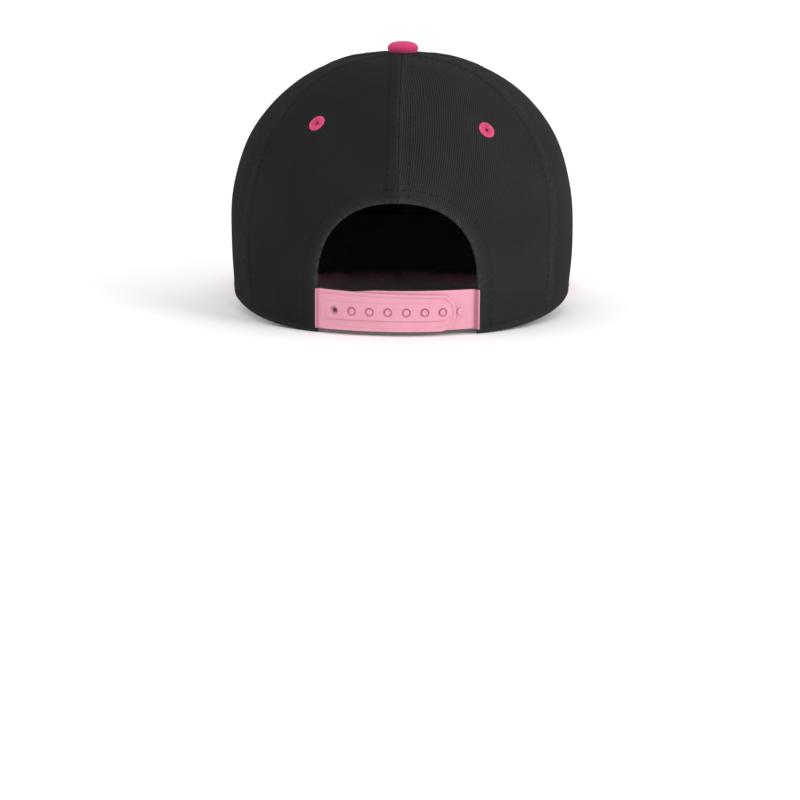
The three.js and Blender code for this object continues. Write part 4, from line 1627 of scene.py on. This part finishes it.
        # Painted shade of the face: none on the pegged plate, the creases and holes of the holed plate,
        # and the root's own column.
        offset, back_offset, painted_shade = np.full_like(x, front), np.full_like(x, back), 0 * x
        if holed:
            fade = smooth_step(0.0, self.root_fade, root - self.root_ease - x)
            offset += (self.face(x, y, edge) - front) * fade
            painted_shade = self.painted_shade(x, y, edge) * fade
        offset[:, count:], back_offset[:, count:] = profile["front_offset"], profile["back_offset"]
        painted_shade[:, count:] = profile["painted_shade"]
        back_x, back_y[:, :count] = np.where(np.arange(x.shape[1]) < count, x, back_run), y[:, :count]
        upright = (self.side_run(y) - root) * smooth_step(self.holes[-1] + self.rib_half_height,
                                                          root - self.root_ease, x)
        outer = self.place(side, x + upright, y, offset - roll)
        inner = self.place(side, back_x + upright, back_y, back_offset + roll)
        parts = MeshParts()
        keep = self.hole_mask(run, square) if holed else None
        # The painted shade share goes into the same mesh channel that the cloth uses for its worn edges.
        parts.add_shell(outer, inner, keep, np.stack([x, y], axis=-1) * MM, painted_shade, flip=side > 0)
        if not holed:
            self.add_pegs(parts, side, (front + back) / 2)
        name = "strap_holed_half" if holed else "strap_pegged_half"
        return parts.build(f"{name}_moulding", self.placement, material, Slot.STRAP, name)

    def add_pegs(self, parts: MeshParts, side: int, foot: float) -> None:
        """Add the pegs: a neck from inside the plate and a round head with a soft edge.

        Args:
            parts: Mesh that takes the pegs.
            side: The half's side.
            foot: Offset from the crown's form at which the necks start.
        """
        neck, head = self.peg_neck_radius, self.peg_head_radius
        low, high = self.peg_head_from, self.peg_head_to
        turn = np.arange(self.peg_sides) * TAU / self.peg_sides
        bend = np.linspace(0, math.pi / 2, 6)
        r = np.concatenate([[0.02, neck, neck, neck + 0.1, head - 0.08, head],
                            head - 0.35 * (1 - np.cos(bend)), [0.6 * head, 0.3 * head, 0.02]])
        z = np.concatenate([[foot, foot, low - 0.15, low, low, low + 0.08],
                            high - 0.3 + 0.3 * np.sin(bend), [high - 0.02, high - 0.07, high - 0.09]])
        for run in self.holes:
            azimuth, table = self.arc_table()
            shifted = run + self.peg_shift
            where = side * np.sign(shifted) * np.interp(abs(shifted), table, azimuth)
            place = np.array([where]), np.array([self.row_height - self.form.wall_top])
            centre, normal = self.form.point(*place)[0], self.form.normal(*place)[0]
            around = spokes(normal, turn)
            parts.add_tube(centre + r[:, None, None] * around + z[:, None, None] * normal)


class ShaderSheet:
    """One material's node tree, with short names for the nodes that finishes use."""

    def __init__(self, name: str) -> None:
        """Start a material whose tree holds the output and the main shader."""
        self.material = bpy.data.materials.new(name)
        self.material.use_nodes = True
        self.tree = self.material.node_tree
        self.shader = next(n for n in self.tree.nodes if n.type == "BSDF_PRINCIPLED")

    def set(self, **values: float | tuple[float, ...]) -> None:
        """Set the main shader's sockets, with _ for the spaces in their names."""
        for name, value in values.items():
            self.shader.inputs[name.replace("_", " ")].default_value = value

    def node(self, kind: str, **settings: object) -> bpy.types.Node:
        """Add a node and set its properties."""
        made = self.tree.nodes.new(kind)
        for name, value in settings.items():
            setattr(made, name, value)
        return made

    def plug(self, value: object, socket: bpy.types.NodeSocket) -> None:
        """Link a socket to another, or set its value from a number."""
        if isinstance(value, bpy.types.NodeSocket):
            self.tree.links.new(value, socket)
        else:
            socket.default_value = value

    def math(self, operation: str, *values: object) -> bpy.types.NodeSocket:
        """Result of a math node fed with sockets or numbers."""
        made = self.node("ShaderNodeMath", operation=operation)
        for value, socket in zip(values, made.inputs):
            self.plug(value, socket)
        return made.outputs[0]

    def noise(self, vector: bpy.types.NodeSocket, scale: float,
              detail: float = 2.0) -> bpy.types.NodeSocket:
        """Height of a noise pattern over a coordinate in metres."""
        made = self.node("ShaderNodeTexNoise")
        self.plug(vector, made.inputs["Vector"])
        made.inputs["Scale"].default_value = scale
        made.inputs["Detail"].default_value = detail
        return made.outputs["Fac"]

    def ramp(self, value: object, low: float, high: float, at_low: float = 0.0,
             at_high: float = 1.0) -> bpy.types.NodeSocket:
        """Value mapped from one range to another and held at its ends."""
        made = self.node("ShaderNodeMapRange")
        for feed, socket in zip((value, low, high, at_low, at_high), made.inputs):
            self.plug(feed, socket)
        return made.outputs["Result"]

    def blend(self, factor: object, first: object, second: object) -> bpy.types.NodeSocket:
        """Colour between two colours."""
        made = self.node("ShaderNodeMix", data_type="RGBA")
        for feed, name in ((factor, 0), (first, 6), (second, 7)):
            self.plug(feed, made.inputs[name])
        return made.outputs[2]

    def bump(self, height: bpy.types.NodeSocket, distance: float) -> bpy.types.NodeSocket:
        """Normal bumped by a height from 0 to 1 that stands a distance in metres."""
        made = self.node("ShaderNodeBump")
        made.inputs["Distance"].default_value = distance
        self.plug(height, made.inputs["Height"])
        return made.outputs["Normal"]


@dataclass(frozen=True)
class ClothFinish:
    """Twill or plain cloth, drawn on the piece's own cloth coordinates.

    Attributes:
        name: Name of the material.
        dark: Colour between the ribs, partly a painted shade in the weave's hollows.
        light: Colour on the ribs, lighter as lint and fading make them.
        worn: Colour that rubbed edges turn to.
        pitch: Distance between the diagonal ribs, in metres.
        lean: Angle of the ribs clockwise from the grain, in degrees.
        depth: Height of the ribs, in metres.
        sheen: Weight of the cloth's soft sheen.
        gloss: Level of the cloth's reflection.
        lint: How much of the surface pale fibres lighten.
        waver: How far the ribs wander, in pitches.
        mottle: How much broad patches lighten or darken the cloth.
        yarn_ratio: Cross yarns to a rib's pitch.
        shares: Shares of the ribs, the cross yarns and loose fibres in the weave.
        scales: Noise scales of the waver, mottle, fibres, lint and rubbed patches, per metre.
        contrast: Heights of the weave that get the dark and the light colour.
        lint_cut: Noise at which lint starts and is full.
        rub_cut: Noise at which rubbed patches start and are full.
        rub_shares: How worn a rubbed edge is outside and inside those patches.
    """

    name: str
    dark: tuple[float, float, float]
    light: tuple[float, float, float]
    worn: tuple[float, float, float]
    pitch: float = 0.0011
    lean: float = 30.0
    depth: float = 0.00016
    sheen: float = 0.25
    gloss: float = 0.25
    lint: float = 0.25
    waver: float = 0.8
    mottle: float = 0.12
    yarn_ratio: float = 1.9
    shares: tuple[float, float, float] = (0.62, 0.2, 0.35)
    scales: tuple[float, float, float, float, float] = (170.0, 30.0, 2600.0, 5200.0, 420.0)
    contrast: tuple[float, float] = (0.15, 0.95)
    lint_cut: tuple[float, float] = (0.66, 0.78)
    rub_cut: tuple[float, float] = (0.35, 0.7)
    rub_shares: tuple[float, float] = (0.15, 0.75)

    def build(self) -> bpy.types.Material:
        """Build the material: wavering diagonal ribs crossed by finer yarns."""
        waver_scale, mottle_scale, fibre_scale, lint_scale, rub_scale = self.scales
        rib_share, yarn_share, fibre_share = self.shares
        sheet = ShaderSheet(self.name)
        uv = sheet.node("ShaderNodeUVMap", uv_map="cloth").outputs["UV"]
        parts = sheet.node("ShaderNodeSeparateXYZ")
        sheet.plug(uv, parts.inputs[0])
        u, v = parts.outputs[0], parts.outputs[1]
        cosine, sine = math.cos(math.radians(self.lean)), math.sin(math.radians(self.lean))
        across = sheet.math("SUBTRACT", sheet.math("MULTIPLY", u, cosine / self.pitch),
                            sheet.math("MULTIPLY", v, sine / self.pitch))
        along = sheet.math("ADD", sheet.math("MULTIPLY", u, sine / self.pitch),
                           sheet.math("MULTIPLY", v, cosine / self.pitch))
        waver = sheet.math("MULTIPLY", sheet.noise(uv, waver_scale, 3.0), self.waver)
        phase = sheet.math("MULTIPLY", sheet.math("ADD", across, waver), TAU)
        rib = sheet.math("MULTIPLY_ADD", sheet.math("SINE", phase), 0.5, 0.5)
        yarn_phase = sheet.math("MULTIPLY_ADD", along, self.yarn_ratio * TAU,
                                sheet.math("MULTIPLY", phase, 0.5))
        yarn = sheet.math("MULTIPLY_ADD", sheet.math("SINE", yarn_phase), 0.5, 0.5)
        fibre = sheet.noise(uv, fibre_scale)
        weave = sheet.math("ADD", sheet.math("MULTIPLY", rib, rib_share),
                           sheet.math("ADD", sheet.math("MULTIPLY", yarn, yarn_share),
                                      sheet.math("MULTIPLY", fibre, fibre_share)))
        broad = sheet.ramp(sheet.noise(uv, mottle_scale), *NOISE_SPAN, -self.mottle, self.mottle)
        tone = sheet.math("ADD", sheet.ramp(weave, *self.contrast), broad)
        # The weave's height picks the colour: darker in its hollows as painted shade, lighter on the rib
        # tops as lint and fading.
        colour = sheet.blend(sheet.math("MINIMUM", sheet.math("MAXIMUM", tone, 0.0), 1.0),
                             linear(*self.dark), linear(*self.light))
        fluff = sheet.ramp(sheet.noise(uv, lint_scale, 1.0), *self.lint_cut, 0.0, self.lint)
        colour = sheet.blend(fluff, colour, linear(*self.worn))
        rubbed = sheet.node("ShaderNodeAttribute", attribute_name="wear").outputs["Fac"]
        patch = sheet.ramp(sheet.noise(uv, rub_scale, 3.0), *self.rub_cut, *self.rub_shares)
        colour = sheet.blend(sheet.math("MULTIPLY", rubbed, patch), colour, linear(*self.worn))
        sheet.plug(colour, sheet.shader.inputs["Base Color"])
        sheet.plug(sheet.bump(weave, self.depth), sheet.shader.inputs["Normal"])
        sheet.set(Roughness=0.95, Sheen_Weight=self.sheen, Sheen_Roughness=0.5,
                  Specular_IOR_Level=self.gloss)
        return sheet.material


@dataclass(frozen=True)
class ThreadFinish:
    """Shiny sewing thread: a fine twist over a satin colour."""

    name: str
    dark: tuple[float, float, float]
    light: tuple[float, float, float]
    roughness: float = 0.55
    sheen: float = 0.2
    gloss: float = 0.4
    twist_scale: float = 3400.0
    twist_depth: float = 0.00008
    strand_scale: float = 600.0
    strand_share: float = 0.8
    contrast: tuple[float, float] = (0.55, 1.25)

    def build(self) -> bpy.types.Material:
        """Build the material on object coordinates."""
        sheet = ShaderSheet(self.name)
        place = sheet.node("ShaderNodeTexCoord").outputs["Object"]
        twist = sheet.noise(place, self.twist_scale)
        strand = sheet.noise(place, self.strand_scale, 3.0)
        strands = sheet.math("MULTIPLY", strand, self.strand_share)
        tone = sheet.ramp(sheet.math("ADD", twist, strands), *self.contrast)
        sheet.plug(sheet.blend(tone, linear(*self.dark), linear(*self.light)),
                   sheet.shader.inputs["Base Color"])
        sheet.plug(sheet.bump(twist, self.twist_depth), sheet.shader.inputs["Normal"])
        sheet.set(Roughness=self.roughness, Sheen_Weight=self.sheen,
                  Specular_IOR_Level=self.gloss)
        return sheet.material


@dataclass(frozen=True)
class MouldedFinish:
    """Soft satin plastic that lets a little light in, with a darker painted shade colour in its creases,
    holes and on slopes turned from the light.
    """

    name: str
    deep: tuple[float, float, float]
    pale: tuple[float, float, float]
    painted_shade_colour: tuple[float, float, float]
    flow_scale: float = 90.0
    grain_scale: float = 3200.0
    grain_depth: float = 0.00002
    gloss_scale: float = 260.0
    roughness: tuple[float, float] = (0.36, 0.5)

    def build(self) -> bpy.types.Material:
        """Build the material: faint flow marks, a fine eggshell grain, uneven gloss and the painted
        shade from the mesh's channel.
        """
        sheet = ShaderSheet(self.name)
        place = sheet.node("ShaderNodeTexCoord").outputs["Object"]
        flow = sheet.noise(place, self.flow_scale, 3.0)
        grain = sheet.noise(place, self.grain_scale)
        colour = sheet.blend(sheet.ramp(flow, *NOISE_SPAN), linear(*self.deep), linear(*self.pale))
        # Painted shade: the mesh's channel blends in the darker colour at creases, holes and the ridge
        # slopes.
        painted_shade = sheet.node("ShaderNodeAttribute", attribute_name="wear").outputs["Fac"]
        sheet.plug(sheet.blend(painted_shade, colour, linear(*self.painted_shade_colour)),
                   sheet.shader.inputs["Base Color"])
        gloss = sheet.noise(place, self.gloss_scale, 4.0)
        sheet.plug(sheet.ramp(gloss, *NOISE_SPAN, *self.roughness),
                   sheet.shader.inputs["Roughness"])
        sheet.plug(sheet.bump(grain, self.grain_depth), sheet.shader.inputs["Normal"])
        sheet.set(Subsurface_Weight=0.25, Subsurface_Scale=0.0012,
                  Subsurface_Radius=(1.0, 0.45, 0.5), Specular_IOR_Level=0.45)
        return sheet.material


@dataclass(frozen=True)
class Studio:
    """Pale floor, soft lights and the camera behind the cap.

    Lengths are in metres. The camera looks at the crown's axis a little over the rim and turns
    a degree or so to the wearer's right, as the photograph does.
    """

    placement: Placement
    distance: float = 1.6
    focal: float = 140.4
    elevation: float = 10.23
    azimuth: float = -1.2
    roll: float = 0.46
    aim_height: float = 0.00993
    aim_pixel: tuple[float, float] = (400.1, 288.7)
    sensor: float = 36.0
    image: int = 800
    floor_size: float = 24.0
    floor_mottle: float = 7.0
    view_end: float = 60.0
    horizon_light: float = 1.56
    zenith_light: float = 0.86
    key_place: tuple[float, float, float] = (-1.6, 1.5, 1.0)
    key_aim: tuple[float, float, float] = (0.0, 0.0, 0.06)
    key_size: float = 1.0
    key_power: float = 23.0

    def camera(self) -> None:
        """Place the camera so that the aim point falls on its pixel."""
        up_angle, turn = math.radians(self.elevation), math.radians(self.azimuth)
        forward = Vector((-math.sin(turn) * math.cos(up_angle), -math.cos(turn) * math.cos(up_angle),
                          -math.sin(up_angle)))
        right = forward.cross(Vector((0, 0, 1))).normalized()
        up = right.cross(forward)
        data = bpy.data.cameras.new("camera")
        data.lens, data.sensor_width = self.focal, self.sensor
        metre_per_pixel = self.distance * data.sensor_width / (self.focal * self.image)
        aim = Vector(self.placement.metres(np.array([0.0, 0.0, self.aim_height / MM])))
        across = (self.aim_pixel[0] - self.image / 2) * metre_per_pixel
        down = (self.aim_pixel[1] - self.image / 2) * metre_per_pixel
        place = aim - forward * self.distance - right * across + up * down
        lean = math.radians(self.roll)
        turned_right = right * math.cos(lean) + up * math.sin(lean)
        turned_up = up * math.cos(lean) - right * math.sin(lean)
        axes = Matrix((turned_right, turned_up, -forward)).transposed().to_4x4()
        data.clip_end = self.view_end
        camera = bpy.data.objects.new("camera", data)
        camera.matrix_world = Matrix.Translation(place) @ axes
        bpy.context.scene.collection.objects.link(camera)
        bpy.context.scene.camera = camera

    def floor(self) -> None:
        """Lay the floor, a wide matt square with a faint mottle."""
        half = self.floor_size / 2
        corners = [(-half, -half, 0), (half, -half, 0), (half, half, 0), (-half, half, 0)]
        mesh = bpy.data.meshes.new("floor")
        mesh.from_pydata(corners, [], [(0, 1, 2, 3)])
        sheet = ShaderSheet("floor_paint")
        place = sheet.node("ShaderNodeTexCoord").outputs["Object"]
        mottle = sheet.ramp(sheet.noise(place, self.floor_mottle), *NOISE_SPAN)
        sheet.plug(sheet.blend(mottle, linear(*FLOOR_DARK), linear(*FLOOR_LIGHT)),
                   sheet.shader.inputs["Base Color"])
        sheet.set(Roughness=0.95)
        mesh.materials.append(sheet.material)
        floor = bpy.data.objects.new("floor", mesh)
        bpy.context.scene.collection.objects.link(floor)
        floor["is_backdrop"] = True

    def key(self) -> None:
        """Add the key, a square soft light behind the cap and to its right."""
        data = bpy.data.lights.new("key", "AREA")
        data.size, data.energy = self.key_size, self.key_power
        lamp = bpy.data.objects.new("key", data)
        lamp.location = self.key_place
        ray = Vector(self.key_aim) - Vector(self.key_place)
        lamp.rotation_euler = ray.to_track_quat("-Z", "Y").to_euler()
        bpy.context.scene.collection.objects.link(lamp)

    def sky(self) -> None:
        """Light the cap from all round, by a sky that is brightest at the horizon."""
        world = bpy.data.worlds.new("studio")
        world.use_nodes = True
        nodes, links = world.node_tree.nodes, world.node_tree.links
        sky = nodes["Background"]
        sky.inputs["Color"].default_value = (1.0, 1.0, 1.0, 1.0)
        place, parts = nodes.new("ShaderNodeTexCoord"), nodes.new("ShaderNodeSeparateXYZ")
        fall = nodes.new("ShaderNodeMapRange")
        fall.inputs["To Min"].default_value = self.horizon_light
        fall.inputs["To Max"].default_value = self.zenith_light
        links.new(place.outputs["Generated"], parts.inputs["Vector"])
        links.new(parts.outputs["Z"], fall.inputs["Value"])
        links.new(fall.outputs["Result"], sky.inputs["Strength"])
        bpy.context.scene.world = world
        bpy.context.scene.view_settings.view_transform = "Standard"

    def build(self) -> None:
        """Build the whole studio."""
        self.camera()
        self.floor()
        self.key()
        self.sky()


FLOOR_DARK, FLOOR_LIGHT = (0.975, 0.975, 0.975), (0.985, 0.985, 0.985)
# The crown is one black twill in two copies. The wearer's left copy is painted darker and the right copy
# painted lighter, as painted shade and painted light from the key on the right.
LEFT_TWILL_PAINTED_SHADE = ClothFinish("left_twill", (0.078, 0.078, 0.079), (0.155, 0.155, 0.157),
                         (0.25, 0.25, 0.253), sheen=0.0, gloss=0.03)
RIGHT_TWILL_PAINTED_LIGHT = ClothFinish("right_twill", (0.09, 0.09, 0.091), (0.18, 0.18, 0.182),
                          (0.25, 0.25, 0.253), lean=20.0, sheen=0.0, gloss=0.03)
BAND_TWILL = ClothFinish("band_twill", (0.1, 0.1, 0.105), (0.18, 0.18, 0.185), (0.26, 0.26, 0.27),
                         pitch=0.0008, lean=45.0, depth=0.0001, sheen=0.1)
PINK_TWILL = ClothFinish("pink_twill", (0.66, 0.14, 0.33), (0.80, 0.24, 0.44), (0.88, 0.45, 0.6),
                         pitch=0.0009, depth=0.0001, lint=0.12, sheen=0.1)
PINK_THREAD = ThreadFinish("pink_thread", (0.69, 0.15, 0.35), (0.84, 0.27, 0.47))
BLACK_THREAD = ThreadFinish("black_thread", (0.045, 0.045, 0.048), (0.095, 0.095, 0.1),
                            roughness=0.8, sheen=0.0, gloss=0.1)
# Strap plastic: two tones of faint flow marks, then the darker painted shade colour.
PINK_PLASTIC = MouldedFinish("pink_plastic", (0.81, 0.555, 0.625), (0.825, 0.58, 0.65),
                             (0.64, 0.37, 0.45))


def corners(box: tuple[Vector, Vector]) -> list[list[float]]:
    """Two corners as plain lists."""
    return [list(corner) for corner in box]


def main() -> None:
    """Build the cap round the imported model, and the studio round the cap."""
    logging.basicConfig(level=logging.INFO, format="%(name)s %(message)s")
    packed = corners(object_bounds())
    form = CrownForm()
    placement = Placement.read(form)
    LOG.info("shift from the design frame: %s mm", placement.shift)
    Studio(placement).build()
    left_cloth_painted_shade, right_cloth_painted_light, pink_cloth = LEFT_TWILL_PAINTED_SHADE.build(), RIGHT_TWILL_PAINTED_LIGHT.build(), PINK_TWILL.build()
    black_thread, pink_thread = BLACK_THREAD.build(), PINK_THREAD.build()
    crown = Crown(form, placement)
    eyelet = Eyelet(crown)
    for place in PanelPlace:
        # Left panels get the copy with painted shade, right panels the copy with painted light.
        for side, cloth in ((1, left_cloth_painted_shade), (-1, right_cloth_painted_light)):
            crown.panel(place, side, cloth)
            eyelet.build(place, side, pink_thread)
    crown.topstitches(black_thread)
    Button(form, placement).build(pink_cloth)
    brim = Brim(form, placement)
    brim.build(pink_cloth)
    brim.stitches(pink_thread)
    strap = SnapStrap(form, placement)
    band = Sweatband(form, placement)
    band_start = strap.tab_end() + form.clearance / form.half_width
    band.build(band_start, BAND_TWILL.build())
    band.stitches(band_start, black_thread)
    plastic = PINK_PLASTIC.build()
    for half in Fastening:
        strap.half(half, plastic)
    sizes = {"packed": packed, "dressed": corners(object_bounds())}
    LOG.info("boxes in metres: %s", sizes)


if __name__ == "__main__":
    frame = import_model()
    main()
